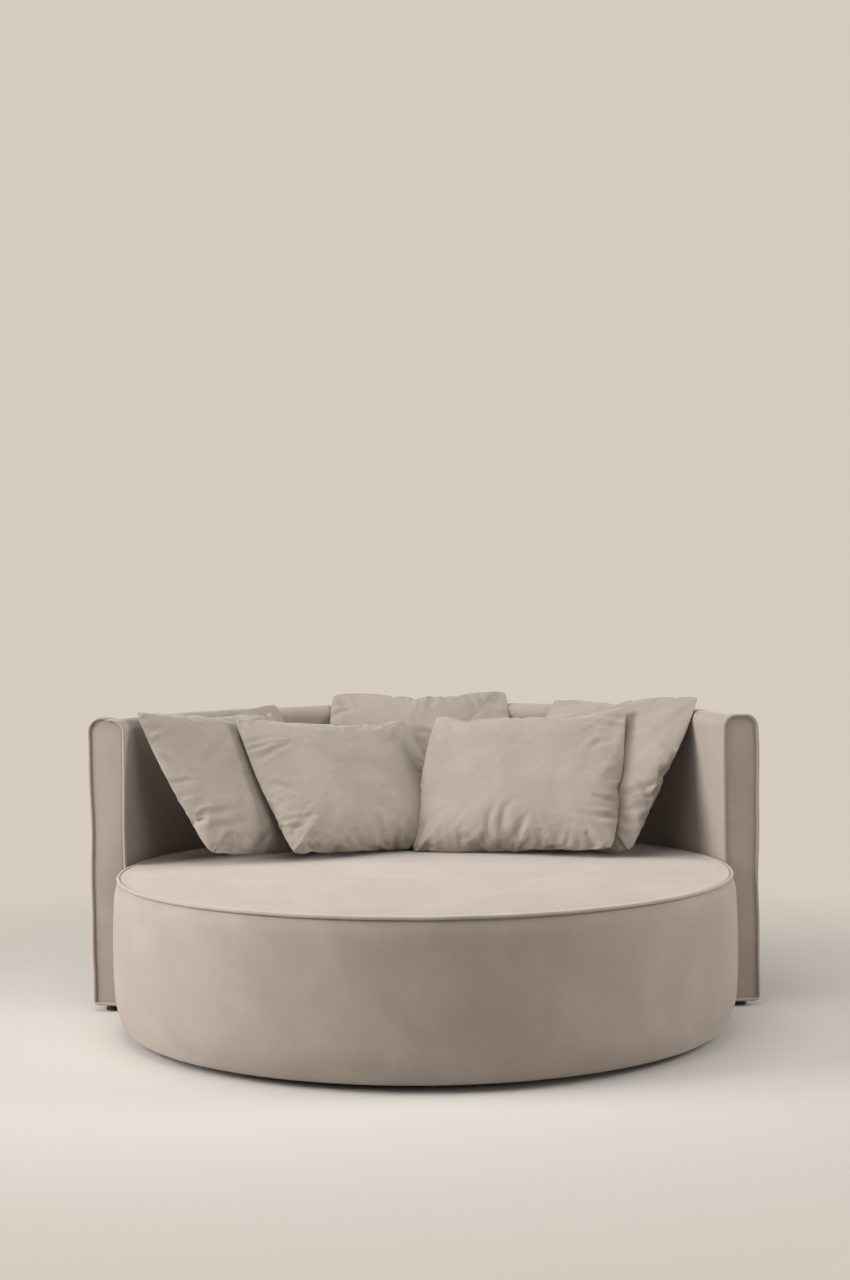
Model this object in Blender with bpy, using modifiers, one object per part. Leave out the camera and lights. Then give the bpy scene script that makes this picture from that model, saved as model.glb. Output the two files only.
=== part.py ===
"""Round two-seater sofa: a drum seat inside a curved back, with six loose cushions.

Metres, +Z up. The origin is on the floor, at the centre of the sofa's plan.
The sofa faces -Y, and left and right are those of someone looking at its front.

The drum is a plywood base and a plywood top ring on posts, crossed by two half-lapped
bearers and woven webbing, with a bent skin round it, foam on it and a piped cover over it.
The back is a ring segment of the same make: bent rails, uprights, arm boards and skins,
padded and covered, standing on its own glides and plated to the drum from below.
"""

from dataclasses import dataclass
from math import asin, cos, pi, radians, sin

import bmesh
import bpy
from mathutils import Matrix, Vector
from mathutils.bvhtree import BVHTree

# Clearances
FIT = 0.0003  # between solids that touch
CUSHION_CLEAR = 0.003  # between a cushion and what it leans on

# Drum seat
SEAT_RADIUS = 0.840  # to the middle of the piping
SEAT_HEIGHT = 0.4165  # floor to the middle of the piping
SEAT_CROWN = 0.013  # rise of the seat's middle over its edge
BAND_BULGE = 0.015  # how far the side band swells past the piping
FOOT_TUCK = 0.021  # how far the band's lower edge is drawn in
HEM_WIDTH = 0.035  # cover turned under the base
SEAT_FOAM = 0.110  # at its edge
BASE_THICKNESS = 0.018
TOP_RING_THICKNESS = 0.018
TOP_RING_WIDTH = 0.070
BASE_RING_WIDTH = 0.130
BASE_ARM_WIDTH = 0.120
WALL_PADDING = 0.034  # from the piping's circle in to the bent skin
WALL_THICKNESS = 0.005
POST_SIDE = 0.045
POST_EDGE = 0.003
BEARER_THICKNESS = 0.030
BEARER_DEPTH = 0.090
STRAP_THICKNESS = 0.0024
STRAP_WIDTH = 0.070
STRAP_LANDING = 0.045  # what each strap's end covers of the top ring

# Curved back, concentric with the drum
DRUM_CLEARANCE = 0.006  # between the drum's fattest point and the back
BACK_THICKNESS = 0.101
BACK_HEIGHT = 0.832
BACK_EDGE = 0.036  # radius of the two top edges
BACK_FOOT_EDGE = 0.010
ARM_END_ANGLE = radians(9.5)  # the arms stop this far behind the drum's middle
INNER_FOAM = 0.024
OUTER_WADDING = 0.017
BACK_SKIN = 0.004
RAIL_DEPTH = 0.045
UPRIGHT_THICKNESS = 0.030
ARM_BOARD = 0.018
BACK_HEM_WIDTH = 0.014

# Fabric and trim
COVER = 0.0025
PIPING_RADIUS = 0.0045
PIPING_INSET = 0.002  # arm piping, from the edge of the arm's face
HEM_HEIGHT = 0.018  # floor to the covers' lower edges
DUST_CLOTH = 0.0012
DUST_MARGIN = 0.012  # the cloth stops this far inside the fabric's lower edge

# Glides and joining plates
GLIDE_RADIUS = 0.022
GLIDE_NECK = 0.016
GLIDE_RIM = 0.006
GLIDE_CHAMFER = 0.0015
ARM_GLIDE_SETBACK = 0.036  # from the arm's end face
PLATE_THICKNESS = 0.003
PLATE_WIDTH = 0.040
PLATE_REACH = 0.085  # past the join on each side
PLATE_HOLE_RADIUS = 0.0035
PLATE_HOLE_PITCH = 0.040
PLATE_ANGLE = radians(45.5)

# Cushions
CUSHION_SIDE = 0.580  # tip to tip, as filled
CUSHION_CROWN = 0.054  # half of the thickness in the middle
CUSHION_PULL = 0.0175  # how far each side is drawn in between its corners

# Facets
DRUM_STEPS = 48
BACK_STEPS = 22
CORNER_STEPS = 4
GLIDE_STEPS = 12
CUSHION_CELLS = 12
PIPING_SIDES = 6
HOLE_STEPS = 8
POSTS = 8
SEAT_GLIDES = 6
CUTTER_OVERRUN = 0.02
MERGE = 0.00005
SHARP_EDGE = radians(32)

# Sizes that follow from those above
WALL_RADIUS = SEAT_RADIUS - WALL_PADDING
FLAT = cos(pi / DRUM_STEPS)  # from a faceted ring's corners to its flats
BAND_RADIUS = SEAT_RADIUS + BAND_BULGE
HEM_RADIUS = SEAT_RADIUS - FOOT_TUCK
BACK_INNER = BAND_RADIUS + DRUM_CLEARANCE
BACK_OUTER = BACK_INNER + BACK_THICKNESS
DRUM_CENTRE = Vector((0, (BAND_RADIUS * FLAT - BACK_OUTER) / 2, 0))
FRAME_BOTTOM = HEM_HEIGHT + COVER + FIT
BASE_TOP = FRAME_BOTTOM + BASE_THICKNESS
FOAM_BOTTOM = SEAT_HEIGHT - COVER - FIT - SEAT_FOAM
DECK = FOAM_BOTTOM - 2 * STRAP_THICKNESS - 3 * FIT
RING_OUTER = WALL_RADIUS - WALL_THICKNESS - FIT
RING_INNER = RING_OUTER - TOP_RING_WIDTH
DUST_TOP = HEM_HEIGHT - FIT
DUST_BOTTOM = DUST_TOP - DUST_CLOTH
GLIDE_HEIGHT = DUST_BOTTOM - FIT
RAIL_TOP = BACK_HEIGHT - BACK_EDGE  # the padding over it is as deep as the rounding
SKIN_INNER = BACK_INNER + COVER + FIT + INNER_FOAM + FIT
RAIL_INNER = SKIN_INNER + BACK_SKIN + FIT
SKIN_OUTER = BACK_OUTER - COVER - FIT - OUTER_WADDING - FIT
RAIL_OUTER = SKIN_OUTER - BACK_SKIN - FIT
RAIL_MIDDLE = (RAIL_INNER + RAIL_OUTER) / 2
BACK_STEP = (pi - 2 * ARM_END_ANGLE) / BACK_STEPS
BOARD_INSET = COVER + FIT
FRAME_INSET = BOARD_INSET + ARM_BOARD + FIT

# Shapes, as shares of the sizes that they follow
CROWN_SHARES = (0, 0.44, 0.76, 0.94)  # of the seat's radius
BAND_SHARES = (  # (height, swell): share of the band's height, share of its swell
    (1.00, 0.18),
    (0.88, 0.72),
    (0.62, 1.00),
    (0.34, 0.92),
    (0.16, 0.55),
    (0.05, -0.35),
    (0.00, -FOOT_TUCK / BAND_BULGE),
)
DEEP_STRAP_SHARES = (-0.56, -0.19, 0.19, 0.56)  # of the top ring's inner radius
SIDE_STRAP_SHARES = (-0.42, 0, 0.42)
UPRIGHT_FACETS = (3, 8, 13, 18)  # counted along the back from its right arm
REAR_GLIDE_FACETS = (7, 14)

FABRIC = ("Greige velvet", (0.50, 0.44, 0.385), 0.85, 0)
PIPING_FABRIC = ("Piping velvet", (0.55, 0.49, 0.43), 0.80, 0)
PLYWOOD = ("Birch plywood", (0.62, 0.47, 0.30), 0.60, 0)
TIMBER = ("Pine", (0.66, 0.49, 0.29), 0.65, 0)
BENT_PLY = ("Bending plywood", (0.56, 0.41, 0.26), 0.65, 0)
FOAM = ("Seat foam", (0.78, 0.75, 0.62), 0.90, 0)
WADDING = ("Wadding", (0.86, 0.86, 0.84), 0.95, 0)
WEBBING = ("Elastic webbing", (0.10, 0.10, 0.10), 0.80, 0)
DUST_FABRIC = ("Dust cloth", (0.03, 0.03, 0.03), 0.90, 0)
BLACK_PLASTIC = ("Black plastic", (0.02, 0.02, 0.02), 0.45, 0)
STEEL = ("Zinc-plated steel", (0.55, 0.56, 0.58), 0.35, 1)


@dataclass(frozen=True)
class Cushion:
    """One loose cushion: where it is put down and how it is pressed out of square.

    The place is a share of the back's inner radius, from the drum's middle. Top, foot and
    height are shares of the cushion's side, and plump is a share of its crown: the rear
    ones are pressed thin. The left lift is what its left foot corner rises by, as a share
    of the side.
    """

    name: str
    place_shares: tuple
    yaw: float
    lean: float
    spin: float
    top_share: float
    foot_share: float
    height_share: float
    plump_share: float
    left_lift_share: float = 0


# In the order in which they are put down, from the back wall forward
CUSHIONS = (
    Cushion(
        "cushion_back_middle", (-0.014, 0.813), 1.4, 34.6, 0.6, 0.970, 0.923, 0.935, 0.58
    ),
    Cushion(
        "cushion_back_right", (0.593, 0.549), -46.4, 35.2, 2.8, 0.990, 0.907, 0.907, 0.84
    ),
    Cushion(
        "cushion_back_left", (-0.595, 0.633), 50.4, 22.5, 1.1, 0.594, 0.840, 0.785, 0.50
    ),
    Cushion(
        "cushion_left", (-0.620, 0.383), 53.5, 36.4, -2.5, 0.984, 0.920, 0.870, 0.84, 0.048
    ),
    Cushion(
        "cushion_front_left", (-0.262, 0.480), 38.1, 42.5, -4.4, 1.059, 1.002, 0.860, 0.96, -0.012
    ),
    Cushion(
        "cushion_front_right", (0.330, 0.440), -18.7, 38.4, 3.1, 1.027, 1.037, 0.869, 1.00, 0.013
    ),
)


def clear_scene():
    """Empties the file of what it opened with."""
    for obj in list(bpy.data.objects):
        bpy.data.objects.remove(obj, do_unlink=True)


def new_collection(name, helper=False):
    """A collection in the scene, hidden from renders if it holds helpers."""
    collection = bpy.data.collections.new(name)
    bpy.context.scene.collection.children.link(collection)
    collection.hide_render = helper
    return collection


def finish_material(finish):
    """The material of a (name, colour, roughness, metallic) finish, made once."""
    name, colour, roughness, metallic = finish
    material = bpy.data.materials.get(name)
    if material is None:
        material = bpy.data.materials.new(name)
        material.use_nodes = True
        shader = material.node_tree.nodes["Principled BSDF"]
        shader.inputs["Base Color"].default_value = (*colour, 1)
        shader.inputs["Roughness"].default_value = roughness
        shader.inputs["Metallic"].default_value = metallic
        material.diffuse_color = (*colour, 1)
    return material


def add_object(name, data, finish, collection, place=None):
    """Links an object of this mesh or curve to the collection, in its finish."""
    obj = bpy.data.objects.new(name, data)
    if finish is not None:
        data.materials.append(finish_material(finish))
    if place is not None:
        obj.matrix_world = place
    collection.objects.link(obj)
    return obj


def smooth(mesh):
    """Shades round faces smooth and keeps real edges sharp."""
    mesh.shade_smooth()
    mesh.set_sharp_from_angle(angle=SHARP_EDGE)


def mesh_of(bm, name):
    """Turns a bmesh into a mesh, its round faces shaded smooth."""
    mesh = bpy.data.meshes.new(name)
    bm.to_mesh(mesh)
    bm.free()
    smooth(mesh)
    return mesh


def turned(name, profile, finish, collection, steps=DRUM_STEPS, centre=DRUM_CENTRE, closed=False):
    """A turned solid: (radius, height) points down its outer side, screwed once round."""
    bm = bmesh.new()
    points = [bm.verts.new((radius, 0, height)) for radius, height in profile]
    for first, second in zip(points, points[1:]):
        bm.edges.new((first, second))
    if closed:
        bm.edges.new((points[-1], points[0]))
    mesh = bpy.data.meshes.new(name)
    bm.to_mesh(mesh)
    bm.free()
    half_facet = Matrix.Rotation(pi / steps, 4, "Z")
    obj = add_object(name, mesh, finish, collection, Matrix.Translation(centre) @ half_facet)
    screw = obj.modifiers.new("Turn", "SCREW")
    screw.axis = "Z"
    screw.angle = 2 * pi
    screw.steps = steps
    screw.render_steps = steps
    screw.use_merge_vertices = True
    screw.merge_threshold = MERGE
    screw.use_smooth_shade = True
    screw.use_normal_calculate = False
    return obj


def flat_curve(name, outlines, thickness, finish, collection, place):
    """A flat plate from closed outlines, the first outside and the others holes."""
    curve = bpy.data.curves.new(name, "CURVE")
    curve.dimensions = "2D"
    curve.fill_mode = "BOTH"
    curve.extrude = thickness / 2
    for outline in outlines:
        spline = curve.splines.new("POLY")
        spline.points.add(len(outline) - 1)
        for point, (x, y) in zip(spline.points, outline):
            point.co = (x, y, 0, 1)
        spline.use_cyclic_u = True
    return add_object(name, curve, finish, collection, place)


def circle(radius, steps=DRUM_STEPS, centre=(0, 0)):
    """Corners of a faceted circle with a flat facing each axis."""
    return [
        (
            centre[0] + radius * cos((2 * k + 1) * pi / steps),
            centre[1] + radius * sin((2 * k + 1) * pi / steps),
        )
        for k in range(steps)
    ]


def at_drum(height):
    """A place on the drum's axis."""
    return Matrix.Translation(DRUM_CENTRE + Vector((0, 0, height)))


def crown_height(radius):
    """Height of the seat cover's outside over a point of the seat."""
    share = min(radius / SEAT_RADIUS, 1)
    return SEAT_HEIGHT + SEAT_CROWN * (1 - share * share)


def cover_height(radius):
    """Height of the cover's faceted top at this distance from the drum's middle."""
    rings = [SEAT_RADIUS * share for share in (*CROWN_SHARES, 1)]
    for inner, outer in zip(rings, rings[1:]):
        if radius <= outer:
            low, high = crown_height(outer), crown_height(inner)
            return high + (low - high) * (radius - inner) / (outer - inner)
    return SEAT_HEIGHT


def band_profile(inset):
    """The side band's points from top to bottom, drawn in by the inset."""
    top = SEAT_HEIGHT - PIPING_RADIUS - FIT
    return [
        (SEAT_RADIUS + BAND_BULGE * swell - inset, HEM_HEIGHT + (top - HEM_HEIGHT) * height)
        for height, swell in BAND_SHARES
    ]


def band_radius(height, inset):
    """Radius of the side band at a height, drawn in by the inset."""
    points = band_profile(inset)
    for (upper_radius, upper), (lower_radius, lower) in zip(points, points[1:]):
        if lower <= height <= upper:
            share = (height - lower) / (upper - lower)
            return lower_radius + (upper_radius - lower_radius) * share
    return points[0][0] if height > points[0][1] else points[-1][0]


def band_stretch(low, high, inset):
    """The band's points between two heights, from top to bottom, ends included."""
    inner = [point for point in band_profile(inset) if low < point[1] < high]
    return [(band_radius(high, inset), high), *inner, (band_radius(low, inset), low)]


def seat_frame(parts):
    """Base board, posts, top ring, bearers and the bent skin round them."""
    window_outer = RING_OUTER - BASE_RING_WIDTH
    half_arm = BASE_ARM_WIDTH / 2
    start = asin(half_arm / window_outer)
    arc = [
        start + (pi / 2 - 2 * start) * k / (DRUM_STEPS // 4)
        for k in range(DRUM_STEPS // 4 + 1)
    ]
    window = [(half_arm, half_arm)] + [
        (window_outer * cos(angle), window_outer * sin(angle)) for angle in arc
    ]
    windows = [
        [
            (x * cos(turn) - y * sin(turn), x * sin(turn) + y * cos(turn))
            for x, y in window
        ]
        for turn in (0, pi / 2, pi, 3 * pi / 2)
    ]
    base_middle = FRAME_BOTTOM + BASE_THICKNESS / 2
    flat_curve(
        "seat_base_board",
        [circle(RING_OUTER), *windows],
        BASE_THICKNESS,
        PLYWOOD,
        parts,
        at_drum(base_middle),
    )
    flat_curve(
        "seat_top_ring",
        [circle(RING_OUTER), circle(RING_INNER)],
        TOP_RING_THICKNESS,
        PLYWOOD,
        parts,
        at_drum(DECK - TOP_RING_THICKNESS / 2),
    )
    skin_inner = WALL_RADIUS - WALL_THICKNESS
    turned(
        "seat_wall_skin",
        [
            (WALL_RADIUS, DECK),
            (WALL_RADIUS, FRAME_BOTTOM),
            (skin_inner, FRAME_BOTTOM),
            (skin_inner, DECK),
        ],
        BENT_PLY,
        parts,
        closed=True,
    )
    seat_posts(parts)
    seat_bearers(parts)


def seat_posts(parts):
    """Square posts between the base board and the top ring, flush with the ring inside."""
    bottom = BASE_TOP + FIT
    top = DECK - TOP_RING_THICKNESS - FIT
    for k in range(POSTS):
        bm = bmesh.new()
        bmesh.ops.create_cube(bm, size=1)
        bmesh.ops.scale(bm, vec=(POST_SIDE, POST_SIDE, top - bottom), verts=bm.verts)
        upright = [
            edge
            for edge in bm.edges
            if abs(edge.verts[0].co.z - edge.verts[1].co.z) > POST_SIDE
        ]
        bmesh.ops.bevel(bm, geom=upright, offset=POST_EDGE, segments=1, affect="EDGES")
        place = (
            at_drum((top + bottom) / 2)
            @ Matrix.Rotation(2 * pi * k / POSTS, 4, "Z")
            @ Matrix.Translation((RING_INNER * FLAT + POST_SIDE / 2, 0, 0))
        )
        name = f"seat_post_{k + 1}"
        add_object(name, mesh_of(bm, name), TIMBER, parts, place)


def seat_bearers(parts):
    """Two crossing bearers, half-lapped in the middle, that carry the webbing."""
    reach = RING_INNER * FLAT - FIT
    half_depth = BEARER_DEPTH / 2
    half_slot = BEARER_THICKNESS / 2 + FIT
    half_fit = FIT / 2
    slot_up = [
        (-reach, -half_depth),
        (reach, -half_depth),
        (reach, half_depth),
        (half_slot, half_depth),
        (half_slot, -half_fit),
        (-half_slot, -half_fit),
        (-half_slot, half_depth),
        (-reach, half_depth),
    ]
    slot_down = [(x, -y) for x, y in reversed(slot_up)]
    upright = Matrix.Rotation(pi / 2, 4, "X")
    middle = at_drum(DECK - half_depth)
    flat_curve("seat_bearer_side", [slot_up], BEARER_THICKNESS, TIMBER, parts, middle @ upright)
    across = middle @ Matrix.Rotation(pi / 2, 4, "Z") @ upright
    flat_curve("seat_bearer_deep", [slot_down], BEARER_THICKNESS, TIMBER, parts, across)


def strap_outline(offset, crossings, over_first):
    """Side view of one strap, woven over and under the straps that it crosses.

    Args:
        offset: how far the strap runs from the drum's middle.
        crossings: where the other straps cross it, in order.
        over_first: whether it passes over the first of them.
    """
    landing = RING_INNER + STRAP_LANDING
    end = (landing * landing - offset * offset) ** 0.5
    low = FIT
    high = low + STRAP_THICKNESS + FIT
    half_flat = STRAP_WIDTH / 2 + STRAP_THICKNESS
    under = [(-end, low)]
    for k, crossing in enumerate(crossings):
        level = high if (k % 2 == 0) == over_first else low
        under += [(crossing - half_flat, level), (crossing + half_flat, level)]
    under.append((end, low))
    over = [(x, z + STRAP_THICKNESS) for x, z in reversed(under)]
    return under + over


def webbing(parts):
    """Elastic straps woven across the top ring, each over one and under the next."""
    deep = [RING_INNER * share for share in DEEP_STRAP_SHARES]
    side = [RING_INNER * share for share in SIDE_STRAP_SHARES]
    upright = Matrix.Rotation(pi / 2, 4, "X")
    for k, offset in enumerate(side):
        place = at_drum(DECK) @ Matrix.Translation((0, offset, 0)) @ upright
        outline = strap_outline(offset, deep, k % 2 == 0)
        flat_curve(f"webbing_side_{k + 1}", [outline], STRAP_WIDTH, WEBBING, parts, place)
    quarter = Matrix.Rotation(pi / 2, 4, "Z")
    for k, offset in enumerate(deep):
        place = at_drum(DECK) @ Matrix.Translation((offset, 0, 0)) @ quarter @ upright
        outline = strap_outline(offset, side, k % 2 == 1)
        flat_curve(f"webbing_deep_{k + 1}", [outline], STRAP_WIDTH, WEBBING, parts, place)


def seat_padding(parts):
    """The crowned foam disc on the webbing and the swelling pad round the wall."""
    under_cover = COVER + FIT
    seam_radius = SEAT_RADIUS - PIPING_RADIUS - FIT - under_cover
    shoulder = SEAT_HEIGHT - PIPING_RADIUS - FIT - under_cover
    crown = [
        (SEAT_RADIUS * share, crown_height(SEAT_RADIUS * share) - under_cover)
        for share in CROWN_SHARES
    ]
    side = band_stretch(FOAM_BOTTOM, shoulder, under_cover)
    turned(
        "seat_foam",
        [*crown, (seam_radius, SEAT_HEIGHT - under_cover), (seam_radius, shoulder), *side, (0, FOAM_BOTTOM)],
        FOAM,
        parts,
    )
    wall = WALL_RADIUS + FIT
    outer = band_stretch(FRAME_BOTTOM, FOAM_BOTTOM - FIT, under_cover)
    turned(
        "seat_wall_padding",
        [*outer, (wall, FRAME_BOTTOM), (wall, FOAM_BOTTOM - FIT)],
        WADDING,
        parts,
        closed=True,
    )


def seat_cover(parts):
    """The seat's cover, a top panel sewn to a side band that is turned under the base."""
    groove_radius = SEAT_RADIUS - PIPING_RADIUS - FIT
    groove_height = SEAT_HEIGHT - PIPING_RADIUS - FIT
    crown = [
        (SEAT_RADIUS * share, crown_height(SEAT_RADIUS * share)) for share in CROWN_SHARES
    ]
    hem = HEM_RADIUS - HEM_WIDTH
    hem_top = HEM_HEIGHT + COVER
    outside = [
        *crown,
        (groove_radius, SEAT_HEIGHT),
        (groove_radius, groove_height),
        *band_profile(0),
        (hem, HEM_HEIGHT),
    ]
    band_inside = band_stretch(hem_top, groove_height - COVER, COVER)
    inside = [
        (hem, hem_top),
        *reversed(band_inside),
        (groove_radius - COVER, groove_height - COVER),
        (groove_radius - COVER, SEAT_HEIGHT - COVER),
        *[(radius, height - COVER) for radius, height in reversed(crown)],
    ]
    turned("seat_cover", outside + inside, FABRIC, parts)


def seat_trim(parts):
    """The piping round the seat's edge and the dust cloth under it."""
    ring = [
        (
            SEAT_RADIUS + PIPING_RADIUS * cos(2 * pi * k / PIPING_SIDES),
            SEAT_HEIGHT - PIPING_RADIUS * sin(2 * pi * k / PIPING_SIDES),
        )
        for k in range(PIPING_SIDES)
    ]
    turned("seat_piping", ring, PIPING_FABRIC, parts, closed=True)
    flat_curve(
        "seat_dust_cover",
        [circle(HEM_RADIUS - DUST_MARGIN)],
        DUST_CLOTH,
        DUST_FABRIC,
        parts,
        at_drum(DUST_BOTTOM + DUST_CLOTH / 2),
    )


def glide_profile():
    """A glide's points down its outer side, from the middle of its top."""
    return [
        (0, GLIDE_HEIGHT),
        (GLIDE_NECK, GLIDE_HEIGHT),
        (GLIDE_RADIUS, GLIDE_RIM),
        (GLIDE_RADIUS, GLIDE_CHAMFER),
        (GLIDE_RADIUS - GLIDE_CHAMFER, 0),
        (0, 0),
    ]


def round_drum(radius, angle):
    """The point at this radius and angle round the drum's axis, on the floor."""
    return DRUM_CENTRE + Vector((radius * cos(angle), radius * sin(angle), 0))


def glides(parts):
    """The plastic glides under the drum and under the back."""
    base_radius = RING_OUTER - BASE_RING_WIDTH / 2
    for k in range(SEAT_GLIDES):
        centre = round_drum(base_radius, pi / SEAT_GLIDES + 2 * pi * k / SEAT_GLIDES)
        turned(
            f"seat_glide_{k + 1}", glide_profile(), BLACK_PLASTIC, parts, GLIDE_STEPS, centre
        )
    arm = ARM_END_ANGLE + ARM_GLIDE_SETBACK / RAIL_MIDDLE
    rear = [ARM_END_ANGLE + BACK_STEP * (facet + 0.5) for facet in REAR_GLIDE_FACETS]
    for k, angle in enumerate((arm, *rear, pi - arm)):
        centre = round_drum(RAIL_MIDDLE, angle)
        turned(
            f"back_glide_{k + 1}", glide_profile(), BLACK_PLASTIC, parts, GLIDE_STEPS, centre
        )


def end_plane(angle, inset):
    """A plane square to the arc: where it meets the rails, and which way it faces."""
    along = Vector((-sin(angle), cos(angle), 0))
    return DRUM_CENTRE + along * inset, along


def arc_solid(name, outline, first, last):
    """A solid swept along the back's arc and trimmed square at both ends.

    Args:
        outline: its (radius, height) section.
        first: (angle, inset) of the plane that trims its right end.
        last: the same for its left end, its inset negative to shorten the piece.
    """
    bm = bmesh.new()
    start = Matrix.Rotation(ARM_END_ANGLE, 4, "Z")
    points = [
        bm.verts.new(DRUM_CENTRE + start @ Vector((radius, 0, height)))
        for radius, height in outline
    ]
    face = bm.faces.new(points)
    bmesh.ops.spin(
        bm,
        geom=[face, *face.edges, *face.verts],
        cent=DRUM_CENTRE,
        axis=(0, 0, 1),
        angle=pi - 2 * ARM_END_ANGLE,
        steps=BACK_STEPS,
        use_merge=False,
    )
    for (angle, inset), side in ((first, 1), (last, -1)):
        if inset == 0 and angle in (ARM_END_ANGLE, pi - ARM_END_ANGLE):
            continue
        point, along = end_plane(angle, inset)
        bmesh.ops.bisect_plane(
            bm,
            geom=[*bm.verts, *bm.edges, *bm.faces],
            plane_co=point,
            plane_no=along * side,
            clear_inner=True,
        )
        cut = [edge for edge in bm.edges if edge.is_boundary]
        bmesh.ops.edgeloop_fill(bm, edges=cut)
    bmesh.ops.recalc_face_normals(bm, faces=bm.faces)
    return mesh_of(bm, name)


def whole_arc(inset):
    """The two end planes of a piece that stops this far inside both arms' faces."""
    return (ARM_END_ANGLE, inset), (pi - ARM_END_ANGLE, -inset)


def back_foot(inner, outer, bottom):
    """The section's lower edge between two radii, its corners taken off."""
    foot = BACK_FOOT_EDGE
    return [
        (inner, bottom + foot),
        (inner + foot, bottom),
        (outer - foot, bottom),
        (outer, bottom + foot),
    ]


def back_shoulders(inset):
    """The section's two rounded top edges, drawn in by the inset, from outside to inside."""
    inner = BACK_INNER + inset
    outer = BACK_OUTER - inset
    top = BACK_HEIGHT - inset
    edge = BACK_EDGE - inset
    quarter = [pi / 2 * k / CORNER_STEPS for k in range(CORNER_STEPS + 1)]
    over_outer = [(outer - edge + edge * cos(a), top - edge + edge * sin(a)) for a in quarter]
    over_inner = [(inner + edge - edge * sin(a), top - edge + edge * cos(a)) for a in quarter]
    return over_outer + over_inner


def back_outline(inset, bottom):
    """The back's whole section, drawn in by the inset, standing on a height."""
    foot = back_foot(BACK_INNER + inset, BACK_OUTER - inset, bottom)
    return foot + back_shoulders(inset)


def back_frame(parts):
    """Bent rails, uprights, skins and the boards that close the arms."""
    inset = whole_arc(FRAME_INSET)
    rails = {
        "back_bottom_rail": (FRAME_BOTTOM, FRAME_BOTTOM + RAIL_DEPTH),
        "back_top_rail": (RAIL_TOP - RAIL_DEPTH, RAIL_TOP),
    }
    for name, (low, high) in rails.items():
        section = [(RAIL_INNER, low), (RAIL_OUTER, low), (RAIL_OUTER, high), (RAIL_INNER, high)]
        add_object(name, arc_solid(name, section, *inset), TIMBER, parts)
    low = FRAME_BOTTOM + RAIL_DEPTH + FIT
    high = RAIL_TOP - RAIL_DEPTH - FIT
    section = [(RAIL_INNER, low), (RAIL_OUTER, low), (RAIL_OUTER, high), (RAIL_INNER, high)]
    half = UPRIGHT_THICKNESS / 2
    for k, facet in enumerate(UPRIGHT_FACETS):
        angle = ARM_END_ANGLE + BACK_STEP * (facet + 0.5)
        name = f"back_upright_{k + 1}"
        mesh = arc_solid(name, section, (angle, -half), (angle, half))
        add_object(name, mesh, TIMBER, parts)
    skins = {
        "back_inner_skin": (SKIN_INNER, SKIN_INNER + BACK_SKIN),
        "back_outer_skin": (SKIN_OUTER - BACK_SKIN, SKIN_OUTER),
    }
    for name, (inner, outer) in skins.items():
        section = [
            (inner, FRAME_BOTTOM),
            (outer, FRAME_BOTTOM),
            (outer, RAIL_TOP),
            (inner, RAIL_TOP),
        ]
        add_object(name, arc_solid(name, section, *inset), BENT_PLY, parts)
    board = back_outline(BOARD_INSET, FRAME_BOTTOM)
    far = BOARD_INSET + ARM_BOARD
    right = arc_solid("arm_board_right", board, (ARM_END_ANGLE, BOARD_INSET), (ARM_END_ANGLE, far))
    add_object("arm_board_right", right, PLYWOOD, parts)
    left_end = pi - ARM_END_ANGLE
    left = arc_solid("arm_board_left", board, (left_end, -far), (left_end, -BOARD_INSET))
    add_object("arm_board_left", left, PLYWOOD, parts)


def back_padding(parts):
    """Foam on the inside, and wadding that runs over the top rail and down the outside."""
    inset = whole_arc(FRAME_INSET)
    inner = BACK_INNER + COVER + FIT
    outer = BACK_OUTER - COVER - FIT
    foot = back_foot(inner, outer, FRAME_BOTTOM)
    foam = [
        *foot[:2],
        (SKIN_INNER - FIT, FRAME_BOTTOM),
        (SKIN_INNER - FIT, RAIL_TOP),
        (inner, RAIL_TOP),
    ]
    add_object("back_inner_foam", arc_solid("back_inner_foam", foam, *inset), FOAM, parts)
    ledge = RAIL_TOP + FIT
    wadding = [
        (SKIN_OUTER + FIT, FRAME_BOTTOM),
        *foot[2:],
        *back_shoulders(COVER + FIT),
        (inner, ledge),
        (SKIN_OUTER + FIT, ledge),
    ]
    add_object("back_wadding", arc_solid("back_wadding", wadding, *inset), WADDING, parts)


def back_cover(parts, cutters):
    """The back's cover, closed at the arms and open below, its hem turned in."""
    body = back_outline(0, HEM_HEIGHT)
    cover = add_object("back_cover", arc_solid("back_cover", body, *whole_arc(0)), FABRIC, parts)
    inner = BACK_INNER + COVER
    outer = BACK_OUTER - COVER
    low = HEM_HEIGHT + COVER
    below = HEM_HEIGHT - CUTTER_OVERRUN
    hem = BACK_FOOT_EDGE + BACK_HEM_WIDTH
    foot = back_foot(inner, outer, low)
    inside = [
        *foot[:2],
        (inner + hem, low),
        (inner + hem, below),
        (outer - hem, below),
        (outer - hem, low),
        *foot[2:],
        *back_shoulders(COVER),
    ]
    hollow = arc_solid("back_cover_hollow", inside, *whole_arc(COVER))
    cutter = add_object("back_cover_hollow", hollow, None, cutters)
    cutter.display_type = "WIRE"
    cutter.hide_render = True
    cut = cover.modifiers.new("Hollow", "BOOLEAN")
    cut.operation = "DIFFERENCE"
    cut.solver = "EXACT"
    cut.object = cutter
    return cover


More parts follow.
